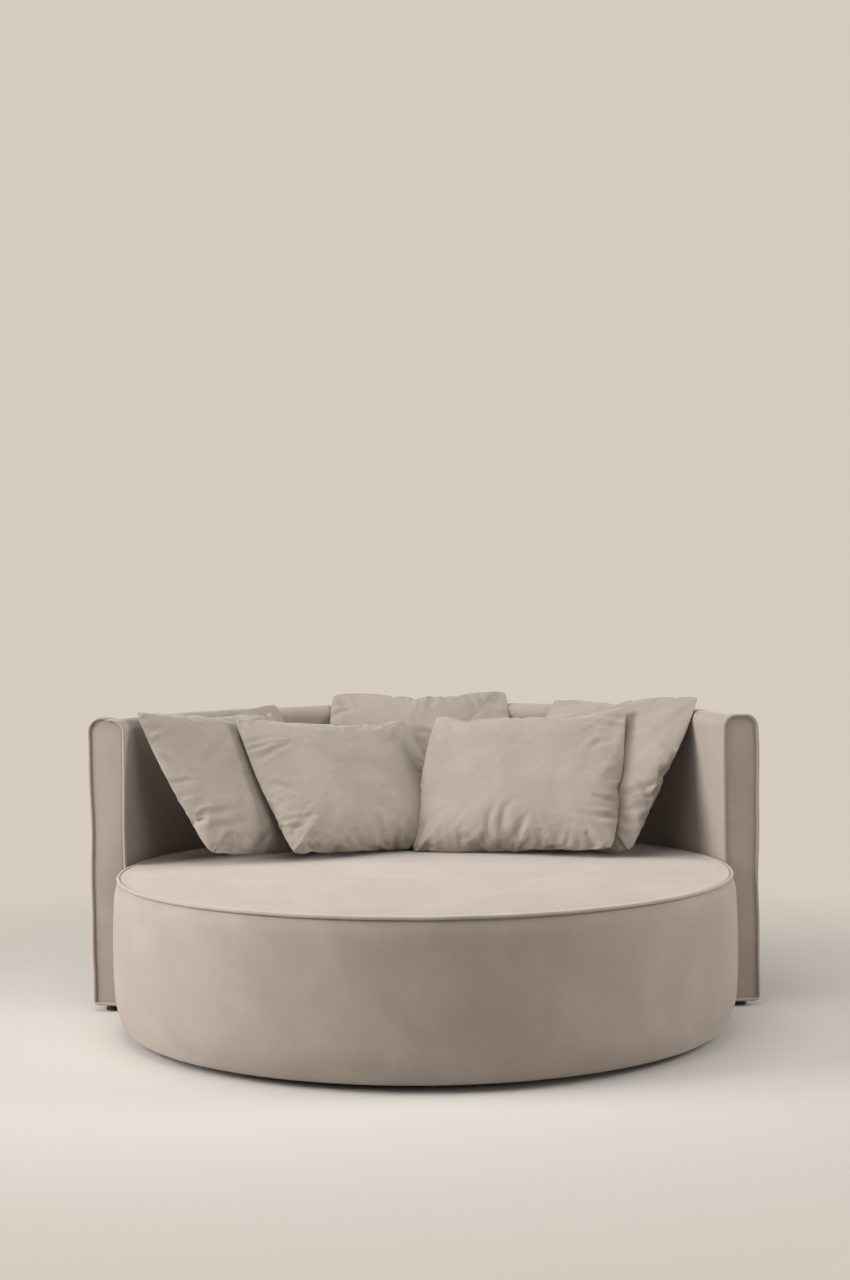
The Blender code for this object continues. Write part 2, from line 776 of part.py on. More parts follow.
def arm_piping(parts):
    """A piped loop round the edge of each arm's flat end."""
    outline = back_outline(PIPING_INSET, HEM_HEIGHT + PIPING_INSET)
    proud = PIPING_RADIUS + FIT
    sides = {"arm_piping_right": (ARM_END_ANGLE, -proud), "arm_piping_left": (pi - ARM_END_ANGLE, proud)}
    for name, (angle, forward) in sides.items():
        point, along = end_plane(angle, forward)
        outward = Vector((cos(angle), sin(angle), 0))
        curve = bpy.data.curves.new(name, "CURVE")
        curve.dimensions = "3D"
        curve.bevel_depth = PIPING_RADIUS
        curve.bevel_resolution = 1
        spline = curve.splines.new("POLY")
        spline.points.add(len(outline) - 1)
        for target, (radius, height) in zip(spline.points, outline):
            place = point + outward * radius + Vector((0, 0, height))
            target.co = (*place, 1)
        spline.use_cyclic_u = True
        add_object(name, curve, PIPING_FABRIC, parts)


def back_underside(parts):
    """The dust cloth under the back and the plates that hold it to the drum."""
    section = [
        (BACK_INNER + DUST_MARGIN, DUST_BOTTOM),
        (BACK_OUTER - DUST_MARGIN, DUST_BOTTOM),
        (BACK_OUTER - DUST_MARGIN, DUST_TOP),
        (BACK_INNER + DUST_MARGIN, DUST_TOP),
    ]
    strip = arc_solid("back_dust_strip", section, *whole_arc(DUST_MARGIN))
    add_object("back_dust_strip", strip, DUST_FABRIC, parts)
    half = PLATE_WIDTH / 2
    reach = PLATE_REACH
    rounded = [
        (reach + half * cos(angle) - half, half * sin(angle))
        for angle in (pi * (k / CORNER_STEPS - 0.5) for k in range(CORNER_STEPS + 1))
    ]
    outline = rounded + [(-x, -y) for x, y in rounded]
    near = reach - half
    holes = [
        circle(PLATE_HOLE_RADIUS, HOLE_STEPS, (side * (near - pitch), 0))
        for side in (1, -1)
        for pitch in (0, PLATE_HOLE_PITCH)
    ]
    join = (HEM_RADIUS + BACK_INNER) / 2
    height = DUST_BOTTOM - FIT - PLATE_THICKNESS / 2
    for name, angle in (("joining_plate_right", PLATE_ANGLE), ("joining_plate_left", pi - PLATE_ANGLE)):
        place = at_drum(height) @ Matrix.Rotation(angle, 4, "Z") @ Matrix.Translation((join, 0, 0))
        flat_curve(name, [outline, *holes], PLATE_THICKNESS, STEEL, parts, place)


def cushion_mesh(cushion, swell=0):
    """A cushion lying on its back: two crowned panels sewn together at their edges.

    Args:
        cushion: which one.
        swell: how much larger it is made, to test its clearance.
    """
    bm = bmesh.new()
    bmesh.ops.create_grid(bm, x_segments=CUSHION_CELLS, y_segments=CUSHION_CELLS, size=1)
    half = CUSHION_SIDE / 2
    pull = CUSHION_PULL / half
    for vert in bm.verts:
        u = sin(vert.co.x * pi / 2)
        v = sin(vert.co.y * pi / 2)
        toward_top = (1 + v) / 2
        width = half * (cushion.foot_share + (cushion.top_share - cushion.foot_share) * toward_top)
        lift = CUSHION_SIDE * cushion.left_lift_share * (1 - toward_top) * (1 - u) / 2
        rim = max(0, (1 - u * u) * (1 - v * v))
        vert.co = (
            (width + swell) * u * (1 - pull * (1 - v * v) * abs(u)),
            (half * cushion.height_share + swell) * v * (1 - pull * (1 - u * u) * abs(v)) + lift,
            (CUSHION_CROWN * cushion.plump_share + swell) * rim**0.5,
        )
    bmesh.ops.mirror(bm, geom=[*bm.verts, *bm.edges, *bm.faces], axis="Z", merge_dist=MERGE)
    underside = [face for face in bm.faces if face.calc_center_median().z < 0]
    bmesh.ops.reverse_faces(bm, faces=underside)
    return mesh_of(bm, cushion.name)


def cushion_pose(cushion, place):
    """How a cushion stands at a place of the seat, leaning back from its foot."""
    turn = Matrix.Rotation(radians(cushion.yaw), 4, "Z")
    lean = Matrix.Rotation(pi / 2 - radians(cushion.lean), 4, "X")
    spin = Matrix.Rotation(radians(cushion.spin), 4, "Z")
    return Matrix.Translation(place) @ turn @ lean @ spin


def seated(mesh, pose):
    """The pose lowered or lifted until the cushion just rests on the seat."""
    rise = max(
        cover_height((corner - DRUM_CENTRE).xy.length) - corner.z
        for corner in (pose @ vert.co for vert in mesh.vertices)
    )
    return Matrix.Translation((0, 0, rise + FIT)) @ pose


def tree_of(mesh, pose):
    """A search tree of a mesh at a pose."""
    points = [pose @ vert.co for vert in mesh.vertices]
    return BVHTree.FromPolygons(points, [list(face.vertices) for face in mesh.polygons])


def cushions(parts, back):
    """Puts each cushion down in its place, forward of it where something is in the way."""
    graph = bpy.context.evaluated_depsgraph_get()
    wall = bpy.data.meshes.new_from_object(back.evaluated_get(graph))
    obstacles = [tree_of(wall, back.matrix_world)]
    bpy.data.meshes.remove(wall)
    forward = Vector((0, -CUSHION_CLEAR, 0))
    for cushion in CUSHIONS:
        mesh = cushion_mesh(cushion)
        larger = cushion_mesh(cushion, CUSHION_CLEAR)
        x_share, y_share = cushion.place_shares
        place = DRUM_CENTRE + Vector((x_share, y_share, 0)) * BACK_INNER
        pose = seated(mesh, cushion_pose(cushion, place))
        tree = tree_of(larger, pose)
        while any(tree.overlap(other) for other in obstacles):
            place += forward
            pose = seated(mesh, cushion_pose(cushion, place))
            tree = tree_of(larger, pose)
        add_object(cushion.name, mesh, FABRIC, parts, pose)
        obstacles.append(tree_of(mesh, pose))
        bpy.data.meshes.remove(larger)


def main():
    clear_scene()
    parts = new_collection("round_two_seater_sofa")
    cutters = new_collection("cutters", helper=True)
    seat_frame(parts)
    webbing(parts)
    seat_padding(parts)
    seat_cover(parts)
    seat_trim(parts)
    glides(parts)
    back_frame(parts)
    back_padding(parts)
    back = back_cover(parts, cutters)
    arm_piping(parts)
    back_underside(parts)
    bpy.context.view_layer.update()
    cushions(parts, back)
    bpy.context.view_layer.update()


main()
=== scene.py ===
"""Looks of a round two-seater sofa: velvet covers, piping, loose cushions and inner parts.

Metres, +Z up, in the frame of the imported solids. The sofa faces -Y, and left and right are
those of someone looking at its front. A size that the solids have is read from them, and
any other is a field of the class that uses it.
"""

import logging
from dataclasses import dataclass
from enum import Enum
from functools import cache
from math import cos, pi, radians, sin
from typing import Sequence

import bmesh
import bpy
import numpy as np
from mathutils import Matrix, Vector
from mathutils.bvhtree import BVHTree


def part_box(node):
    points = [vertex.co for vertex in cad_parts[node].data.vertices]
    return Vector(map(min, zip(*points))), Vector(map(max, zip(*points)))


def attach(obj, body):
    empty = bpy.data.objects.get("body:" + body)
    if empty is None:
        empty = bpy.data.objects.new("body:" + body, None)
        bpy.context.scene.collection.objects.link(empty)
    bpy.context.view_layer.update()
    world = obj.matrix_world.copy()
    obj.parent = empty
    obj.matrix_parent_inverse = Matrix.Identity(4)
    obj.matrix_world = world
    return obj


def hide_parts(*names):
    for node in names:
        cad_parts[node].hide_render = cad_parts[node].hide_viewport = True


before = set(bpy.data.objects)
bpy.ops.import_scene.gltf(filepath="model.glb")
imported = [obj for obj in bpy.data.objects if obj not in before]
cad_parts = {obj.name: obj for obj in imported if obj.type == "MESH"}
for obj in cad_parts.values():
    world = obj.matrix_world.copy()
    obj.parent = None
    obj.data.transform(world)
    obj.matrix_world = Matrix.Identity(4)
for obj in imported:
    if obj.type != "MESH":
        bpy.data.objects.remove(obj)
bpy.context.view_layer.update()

LOG = logging.getLogger("sofa")
ROOT = "sofa"
Colour = tuple[float, float, float]
Value = bpy.types.NodeSocket | float | tuple

# Sizes that the solids share: the covers' cloth, the play between pieces, cords and facets
COVER = 0.0025
FIT = 0.0003
CORD_RADIUS = 0.0045
DRUM_FACETS = 48
FLAT = cos(pi / DRUM_FACETS)

# Corners nearer than this become one
MERGE = 0.00002

# Ways in which a cushion's tip is moved from its place on the solid
UNMOVED = Vector((0, 0, 0))
LIFTED_FOOT = Vector((0, 0.03, 0))


class Body(Enum):
    """Whether a surface is an open sheet or closes round a body."""

    OPEN = "open sheet"
    CLOSED = "closed body"


def opaque(colour: Colour) -> tuple[float, float, float, float]:
    """A colour as a shader's socket takes it."""
    return (*colour, 1.0)


def linked(name: str, data: bpy.types.ID) -> bpy.types.Object:
    """A new object of the data, linked to the scene.

    Args:
        name: its name.
        data: the mesh, lamp or camera that it shows.

    Returns:
        The object.
    """
    obj = bpy.data.objects.new(name, data)
    bpy.context.scene.collection.objects.link(obj)
    return obj


def corners_of(mesh: bpy.types.Mesh) -> np.ndarray:
    """A mesh's corners, one a row."""
    return np.array([vert.co for vert in mesh.vertices], float)


def around(radius: np.ndarray, angle: np.ndarray, height: np.ndarray, foot: Vector) -> np.ndarray:
    """Points of space from their places round an upright axis.

    Args:
        radius: how far each is from the axis.
        angle: where it is round the axis.
        height: how high it is.
        foot: the axis's lowest point.

    Returns:
        The points, with their three coordinates last.
    """
    shape = np.broadcast_shapes(np.shape(radius), np.shape(angle), np.shape(height))
    flat = [radius * np.cos(angle), radius * np.sin(angle), height]
    points = np.stack([np.broadcast_to(part, shape) for part in flat], axis=-1)
    return points + np.array(foot)


def whole_turn(steps: int) -> np.ndarray:
    """Even angles round a whole turn, the last short of the first."""
    return np.arange(steps) * 2 * pi / steps


class Graph:
    """A node tree, wired by short calls."""

    def __init__(self, tree: bpy.types.NodeTree) -> None:
        """Takes the tree that the nodes go into."""
        self.tree = tree

    def add(self, kind: str, sockets: dict | None = None, **settings) -> bpy.types.Node:
        """Adds a node.

        Args:
            kind: its type's name.
            sockets: what each input holds or is fed from, by name or number.
            settings: its properties.

        Returns:
            The node.
        """
        node = self.tree.nodes.new(kind)
        for name, value in settings.items():
            setattr(node, name, value)
        for key, value in (sockets or {}).items():
            self.feed(node.inputs[key], value)
        return node

    def feed(self, socket: bpy.types.NodeSocket, value: Value) -> None:
        """Links an output to the socket, or sets the socket's own value.

        Args:
            socket: the input.
            value: an output, or what the input holds by itself.
        """
        if isinstance(value, bpy.types.NodeSocket):
            self.tree.links.new(value, socket)
        else:
            socket.default_value = value

    def math(self, operation: str, first: Value, second: Value = 0.0) -> bpy.types.NodeSocket:
        """The result of one sum."""
        return self.add("ShaderNodeMath", {0: first, 1: second}, operation=operation).outputs[0]

    def spread(
        self, value: Value, low: float, high: float, to_low: float = 0.0, to_high: float = 1.0
    ) -> bpy.types.NodeSocket:
        """A value moved from one range to another, smoothly and within its ends."""
        sockets = {0: value, 1: low, 2: high, 3: to_low, 4: to_high}
        return self.add("ShaderNodeMapRange", sockets, interpolation_type="SMOOTHSTEP").outputs[0]

    def blend(
        self, factor: Value, first: Value, second: Value, how: str = "MIX"
    ) -> bpy.types.NodeSocket:
        """Two colours mixed."""
        sockets = {0: factor, 6: first, 7: second}
        return self.add("ShaderNodeMix", sockets, data_type="RGBA", blend_type=how).outputs[2]

    def noise(
        self, vector: Value, scale: Value, detail: float = 2.0, distortion: Value = 0.0
    ) -> bpy.types.NodeSocket:
        """A soft noise between 0 and 1."""
        sockets = {"Vector": vector, "Scale": scale, "Detail": detail, "Distortion": distortion}
        return self.add("ShaderNodeTexNoise", sockets).outputs[0]

    def place(self) -> bpy.types.NodeSocket:
        """The point's place on the object, in metres."""
        return self.add("ShaderNodeTexCoord").outputs["Object"]


class GroupMaker:
    """Builds each shader node group once."""

    clouds: tuple[float, float] = (0.34, 0.66)
    mottle_ratio: float = 11.0
    tuft_share: float = 0.9
    mottle_range: tuple[float, float] = (0.2, 0.8)
    pile_roughness: tuple[float, float] = (0.78, 0.92)
    mottle_height: float = 0.6
    ring_range: tuple[float, float] = (0.3, 0.7)
    pore_ratio: float = 14.0
    pore_share: float = 0.3
    wood_roughness: tuple[float, float] = (0.5, 0.72)
    fibre_ratio: float = 0.35
    cell_height: float = 0.6

    def start(
        self, name: str, inputs: dict[str, float | Colour], outputs: Sequence[str]
    ) -> tuple[Graph, dict[str, bpy.types.NodeSocket], bpy.types.Node]:
        """Opens a new group.

        Args:
            name: the group's name.
            inputs: its inputs with their first values.
            outputs: its outputs. Color is a colour and the others are values.

        Returns:
            Its graph, its inputs' sockets by name, and its output node.
        """
        tree = bpy.data.node_groups.new(name, "ShaderNodeTree")
        for label, value in inputs.items():
            kind = "NodeSocketFloat" if isinstance(value, float) else "NodeSocketColor"
            socket = tree.interface.new_socket(label, in_out="INPUT", socket_type=kind)
            socket.default_value = value if isinstance(value, float) else opaque(value)
        for label in outputs:
            kind = "NodeSocketColor" if label == "Color" else "NodeSocketFloat"
            tree.interface.new_socket(label, in_out="OUTPUT", socket_type=kind)
        graph = Graph(tree)
        entry = graph.add("NodeGroupInput")
        given = {label: entry.outputs[label] for label in inputs}
        return graph, given, graph.add("NodeGroupOutput")

    @cache
    def pile(self) -> bpy.types.NodeTree:
        """Short velvet pile: brushed clouds, fine mottling and the tufts themselves.

        Returns:
            The group's tree.
        """
        inputs = {
            "Cloth": (0.5, 0.5, 0.5),
            "Brushing": 0.12,
            "Cloud Scale": 5.0,
            "Tuft Scale": 1100.0,
        }
        graph, given, out = self.start("velvet_pile", inputs, ("Color", "Roughness", "Height"))
        place = graph.place()
        clouds = graph.spread(graph.noise(place, given["Cloud Scale"], 3.0, 0.9), *self.clouds)
        fine = graph.math("MULTIPLY", given["Cloud Scale"], self.mottle_ratio)
        mottle = graph.noise(place, fine, 4.0, 0.4)
        tufts = graph.noise(place, given["Tuft Scale"], 2.0)
        swings = [graph.math("SUBTRACT", part, 0.5) for part in (clouds, mottle, tufts)]
        grain = graph.math("MULTIPLY", swings[2], self.tuft_share)
        swing = graph.math("ADD", graph.math("ADD", *swings[:2]), grain)
        swing = graph.math("MULTIPLY", swing, given["Brushing"])
        bright = graph.math("ADD", swing, 1.0)
        tone = graph.add("ShaderNodeHueSaturation", {"Value": bright, "Color": given["Cloth"]})
        graph.feed(out.inputs["Color"], tone.outputs[0])
        rough = graph.spread(mottle, *self.mottle_range, *self.pile_roughness)
        graph.feed(out.inputs["Roughness"], rough)
        height = graph.math("ADD", tufts, graph.math("MULTIPLY", mottle, self.mottle_height))
        graph.feed(out.inputs["Height"], height)
        return graph.tree

    @cache
    def grain(self) -> bpy.types.NodeTree:
        """Wood grain that runs along Z, with fine pores.

        Returns:
            The group's tree.
        """
        inputs = {"Early": (0.7, 0.5, 0.3), "Late": (0.5, 0.33, 0.18), "Rings": 60.0, "Along": 0.08}
        graph, given, out = self.start("wood_grain", inputs, ("Color", "Roughness", "Height"))
        stretch = graph.add("ShaderNodeCombineXYZ", {0: 1.0, 1: 1.0, 2: given["Along"]})
        long = graph.add(
            "ShaderNodeMapping", {"Vector": graph.place(), "Scale": stretch.outputs[0]}
        )
        rings = graph.noise(long.outputs[0], given["Rings"], 2.0, 1.4)
        fine = graph.math("MULTIPLY", given["Rings"], self.pore_ratio)
        pores = graph.noise(long.outputs[0], fine, 2.0)
        dots = graph.math("MULTIPLY", pores, self.pore_share)
        mark = graph.math("ADD", graph.spread(rings, *self.ring_range), dots)
        graph.feed(out.inputs["Color"], graph.blend(mark, given["Early"], given["Late"]))
        rough = graph.spread(pores, *self.mottle_range, *self.wood_roughness)
        graph.feed(out.inputs["Roughness"], rough)
        graph.feed(out.inputs["Height"], mark)
        return graph.tree

    @cache
    def cells(self) -> bpy.types.NodeTree:
        """Open cells or matted fibres, for foam, wadding, cloth and moulded plastic, with painted
        shade darkening the low places of their relief.

        Returns:
            The group's tree.
        """
        # The Shade input sets how dark the painted shade in the low places of the relief is.
        inputs = {"Base": (0.5, 0.5, 0.5), "Shade": 0.7, "Cell Scale": 400.0, "Tatter": 0.5}
        graph, given, out = self.start("fine_cells", inputs, ("Color", "Height"))
        place = graph.place()
        scale = given["Cell Scale"]
        voronoi = graph.add("ShaderNodeTexVoronoi", {"Vector": place, "Scale": scale})
        cells = voronoi.outputs["Distance"]
        coarse = graph.math("MULTIPLY", scale, self.fibre_ratio)
        fibres = graph.noise(place, coarse, 5.0, given["Tatter"])
        height = graph.math("MULTIPLY", graph.math("ADD", cells, fibres), self.cell_height)
        # Painted shade: the colour falls to a darker tone where the relief is low, standing in for
        # shade in the hollows.
        painted_shade_tone = graph.add(
            "ShaderNodeHueSaturation", {"Value": given["Shade"], "Color": given["Base"]}
        )
        graph.feed(out.inputs["Color"], graph.blend(height, painted_shade_tone.outputs[0], given["Base"]))
        graph.feed(out.inputs["Height"], height)
        return graph.tree


GROUPS = GroupMaker()


class Finish:
    """What every finish shares: one material, made when it is first asked for."""

    name: str

    def material(self) -> bpy.types.Material:
        """The finish's material.

        Returns:
            The material.
        """
        found = bpy.data.materials.get(self.name)
        if found:
            return found
        material = bpy.data.materials.new(self.name)
        material.use_nodes = True
        graph = Graph(material.node_tree)
        shader = material.node_tree.nodes["Principled BSDF"]
        self.dress(graph, shader)
        return material

    def dress(self, graph: Graph, shader: bpy.types.Node) -> None:
        """Feeds the shader."""
        raise NotImplementedError

    def bump(
        self, graph: Graph, shader: bpy.types.Node, height: Value, depth: float, strength: float
    ) -> None:
        """Raises the surface by a height between 0 and 1."""
        bump = graph.add(
            "ShaderNodeBump", {"Height": height, "Distance": depth, "Strength": strength}
        )
        graph.feed(shader.inputs["Normal"], bump.outputs[0])

    def group(self, graph: Graph, tree: bpy.types.NodeTree, sockets: dict) -> bpy.types.Node:
        """Places a shared node group with its own values.

        Args:
            graph: the material's nodes.
            tree: the group's tree.
            sockets: what its inputs hold, by name.

        Returns:
            The group's node.
        """
        node = graph.add("ShaderNodeGroup", node_tree=tree)
        for label, value in sockets.items():
            graph.feed(node.inputs[label], value)
        return node


@dataclass(frozen=True)
class Velvet(Finish):
    """Short-pile velvet, paler where the eye meets it at a low angle."""

    name: str
    colour: Colour
    brushing: float = 0.10
    cloud_scale: float = 4.5
    tuft_scale: float = 1100.0
    sheen: float = 0.33
    sheen_roughness: float = 0.38
    sheen_tint: Colour = (1.0, 0.95, 0.89)
    specular: float = 0.15
    pile_depth: float = 0.0006
    pile_strength: float = 0.35

    def dress(self, graph: Graph, shader: bpy.types.Node) -> None:
        """Feeds the shader with the pile's colour, roughness and height.

        Args:
            graph: the material's nodes.
            shader: the shader that is fed.
        """
        pile = self.group(
            graph,
            GROUPS.pile(),
            {
                "Cloth": opaque(self.colour),
                "Brushing": self.brushing,
                "Cloud Scale": self.cloud_scale,
                "Tuft Scale": self.tuft_scale,
            },
        )
        graph.feed(shader.inputs["Base Color"], pile.outputs["Color"])
        graph.feed(shader.inputs["Roughness"], pile.outputs["Roughness"])
        shader.inputs["Sheen Weight"].default_value = self.sheen
        shader.inputs["Sheen Roughness"].default_value = self.sheen_roughness
        shader.inputs["Sheen Tint"].default_value = opaque(self.sheen_tint)
        shader.inputs["Specular IOR Level"].default_value = self.specular
        self.bump(graph, shader, pile.outputs["Height"], self.pile_depth, self.pile_strength)


@dataclass(frozen=True)
class Timber(Finish):
    """Planed or peeled wood."""

    name: str
    early: Colour
    late: Colour
    rings: float
    along: float
    relief: float = 0.0003
    relief_strength: float = 0.4

    def dress(self, graph: Graph, shader: bpy.types.Node) -> None:
        """Feeds the shader with the grain.

        Args:
            graph: the material's nodes.
            shader: the shader that is fed.
        """
        sockets = {
            "Early": opaque(self.early),
            "Late": opaque(self.late),
            "Rings": self.rings,
            "Along": self.along,
        }
        grain = self.group(graph, GROUPS.grain(), sockets)
        graph.feed(shader.inputs["Base Color"], grain.outputs["Color"])
        graph.feed(shader.inputs["Roughness"], grain.outputs["Roughness"])
        self.bump(graph, shader, grain.outputs["Height"], self.relief, self.relief_strength)


@dataclass(frozen=True)
class Cellular(Finish):
    """Foam, wadding, cloth or grained plastic, with painted shade in the low places of its relief.
    """

    name: str
    base: Colour
    # How dark the painted shade in the low places of the relief is.
    painted_shade: float
    cell_scale: float
    roughness: float
    tatter: float = 0.5
    relief: float = 0.0005
    relief_strength: float = 0.5

    def dress(self, graph: Graph, shader: bpy.types.Node) -> None:
        """Feeds the shader with the cells, their relief and the painted shade in its low places.

        Args:
            graph: the material's nodes.
            shader: the shader that is fed.
        """
        sockets = {
            "Base": opaque(self.base),
            "Shade": self.painted_shade,
            "Cell Scale": self.cell_scale,
            "Tatter": self.tatter,
        }
        cells = self.group(graph, GROUPS.cells(), sockets)
        graph.feed(shader.inputs["Base Color"], cells.outputs["Color"])
        shader.inputs["Roughness"].default_value = self.roughness
        self.bump(graph, shader, cells.outputs["Height"], self.relief, self.relief_strength)


@dataclass(frozen=True)
class Plated(Finish):
    """Zinc-plated steel with its crystals faintly showing."""

    name: str
    colour: Colour
    roughness: float = 0.34
    crystal_scale: float = 180.0
    crystal_share: float = 0.12
    scratch_scale: float = 900.0
    scratch_range: tuple[float, float] = (0.3, 0.7)
    scratch_ratios: tuple[float, float] = (0.8, 1.3)
    relief: float = 0.00005
    relief_strength: float = 0.3

    def dress(self, graph: Graph, shader: bpy.types.Node) -> None:
        """Feeds the shader with the crystals' tones.

        Args:
            graph: the material's nodes.
            shader: the shader that is fed.
        """
        place = graph.place()
        sockets = {"Vector": place, "Scale": self.crystal_scale}
        crystals = graph.add("ShaderNodeTexVoronoi", sockets).outputs["Color"]
        tone = graph.blend(self.crystal_share, opaque(self.colour), crystals, "OVERLAY")
        graph.feed(shader.inputs["Base Color"], tone)
        scratches = graph.noise(place, self.scratch_scale, 3.0, 2.0)
        ends = [self.roughness * ratio for ratio in self.scratch_ratios]
        graph.feed(shader.inputs["Roughness"], graph.spread(scratches, *self.scratch_range, *ends))
        shader.inputs["Metallic"].default_value = 1.0
        self.bump(graph, shader, scratches, self.relief, self.relief_strength)


@dataclass(frozen=True)
class Webbing(Finish):
    """Black elastic webbing, its ribs running along the strap, with painted shade between them."""

    name: str
    base: Colour
    rib_scale: float = 260.0
    rib_waver: float = 0.4
    # How dark the painted shade between the ribs is.
    painted_shade: float = 0.45
    roughness: float = 0.8
    relief: float = 0.0004
    relief_strength: float = 0.6

    def dress(self, graph: Graph, shader: bpy.types.Node) -> None:
        """Feeds the shader with crossed ribs and painted shade between them.

        Args:
            graph: the material's nodes.
            shader: the shader that is fed.
        """
        sockets = {"Vector": graph.place(), "Scale": self.rib_scale, "Distortion": self.rib_waver}
        ribs = [
            graph.add("ShaderNodeTexWave", sockets, bands_direction=axis).outputs["Fac"]
            for axis in ("X", "Y")
        ]
        weave = graph.math("MULTIPLY", *ribs)
        # Painted shade: the colour falls to a darker tone between the ribs, where the relief is
        # low.
        painted_shade_tone = opaque(tuple(self.painted_shade * part for part in self.base))
        graph.feed(shader.inputs["Base Color"], graph.blend(weave, painted_shade_tone, opaque(self.base)))
        shader.inputs["Roughness"].default_value = self.roughness
        self.bump(graph, shader, weave, self.relief, self.relief_strength)


VELVET = Velvet("Greige velvet", (0.342, 0.290, 0.253))
# Painted shade: the cushions' velvet is the cover's cloth made a little darker, standing in for the
# shade on them.
SHADED_CUSHION_VELVET = Velvet("Cushion velvet", (0.335, 0.286, 0.247), cloud_scale=7.0)
# Painted light: the piping's velvet is the cover's cloth made lighter, standing in for the light
# that the cord's top catches.
LIT_PIPING_VELVET = Velvet("Piping velvet", (0.37, 0.31, 0.265), brushing=0.06)
PLYWOOD = Timber("Birch plywood", (0.70, 0.55, 0.37), (0.58, 0.42, 0.26), 28.0, 1.0)
BENT_PLY = Timber("Bending plywood", (0.60, 0.45, 0.29), (0.46, 0.31, 0.18), 34.0, 0.15)
PINE = Timber("Pine", (0.76, 0.58, 0.36), (0.58, 0.37, 0.18), 70.0, 0.12)
# In these cellular finishes the number after the colour is how dark their painted shade is.
FOAM = Cellular("Seat foam", (0.80, 0.77, 0.63), 0.72, 520.0, 0.9)
WADDING = Cellular("Wadding", (0.88, 0.88, 0.86), 0.85, 140.0, 0.95, 2.5, 0.0012)
DUST_CLOTH = Cellular("Dust cloth", (0.032, 0.032, 0.033), 0.5, 700.0, 0.9, 1.5, 0.0002)
BLACK_PLASTIC = Cellular("Black plastic", (0.018, 0.018, 0.018), 0.7, 900.0, 0.42, 0.2, 0.00008)
STEEL = Plated("Zinc-plated steel", (0.62, 0.63, 0.65))
ELASTIC = Webbing("Elastic webbing", (0.075, 0.075, 0.08))


def smooth_path(points: Sequence[tuple[float, float]], spacing: float) -> np.ndarray:
    """A smooth curve through points of a plane, evenly walked.

    Args:
        points: the points that it passes.
        spacing: about how far apart the samples lie.

    Returns:
        The samples, one a row.
    """
    known = np.array(points, float)
    padded = np.vstack([2 * known[0] - known[1], known, 2 * known[-1] - known[-2]])
    walked = []
    for before, start, end, after in zip(padded, padded[1:], padded[2:], padded[3:]):
        count = max(1, round(float(np.linalg.norm(end - start)) / spacing))
        t = (np.arange(count) / count)[:, None]
        slope = (end - before) * t
        curve = (2 * before - 5 * start + 4 * end - after) * t**2
        twist = (3 * start - before - 3 * end + after) * t**3
        walked.append(0.5 * (2 * start + slope + curve + twist))
    return np.vstack([*walked, known[-1:]])


def outward(path: np.ndarray) -> np.ndarray:
    """Unit normals on the left of a path's walk, one for each of its points.

    Args:
        path: the points of the walk, one a row.

    Returns:
        The normals, one a row.
    """
    along = np.gradient(path, axis=0)
    turned = np.stack([-along[:, 1], along[:, 0]], axis=1)
    return turned / np.linalg.norm(turned, axis=1, keepdims=True)


def ripples(angle: np.ndarray, seed: int, counts: tuple[int, int], waves: int = 9) -> np.ndarray:
    """Irregular waves round a circle, about 1 high at most.

    Args:
        angle: the angles to read them at.
        seed: what fixes their order.
        counts: the fewest and the most crests that a wave has in a turn.
        waves: how many are added up.

    Returns:
        The height at each angle.
    """
    draw = np.random.default_rng(seed)
    total = np.zeros_like(angle)
    for _ in range(waves):
        crests = draw.integers(*counts)
        total += draw.uniform(0.4, 1.0) * np.cos(crests * angle + draw.uniform(0, 2 * pi))
    return total / (0.5 * waves)


def eased(value: np.ndarray, start: float, end: float) -> np.ndarray:
    """0 before the start, 1 after the end, and a smooth rise between them."""
    t = np.clip((value - start) / (end - start), 0, 1)
    return t * t * (3 - 2 * t)


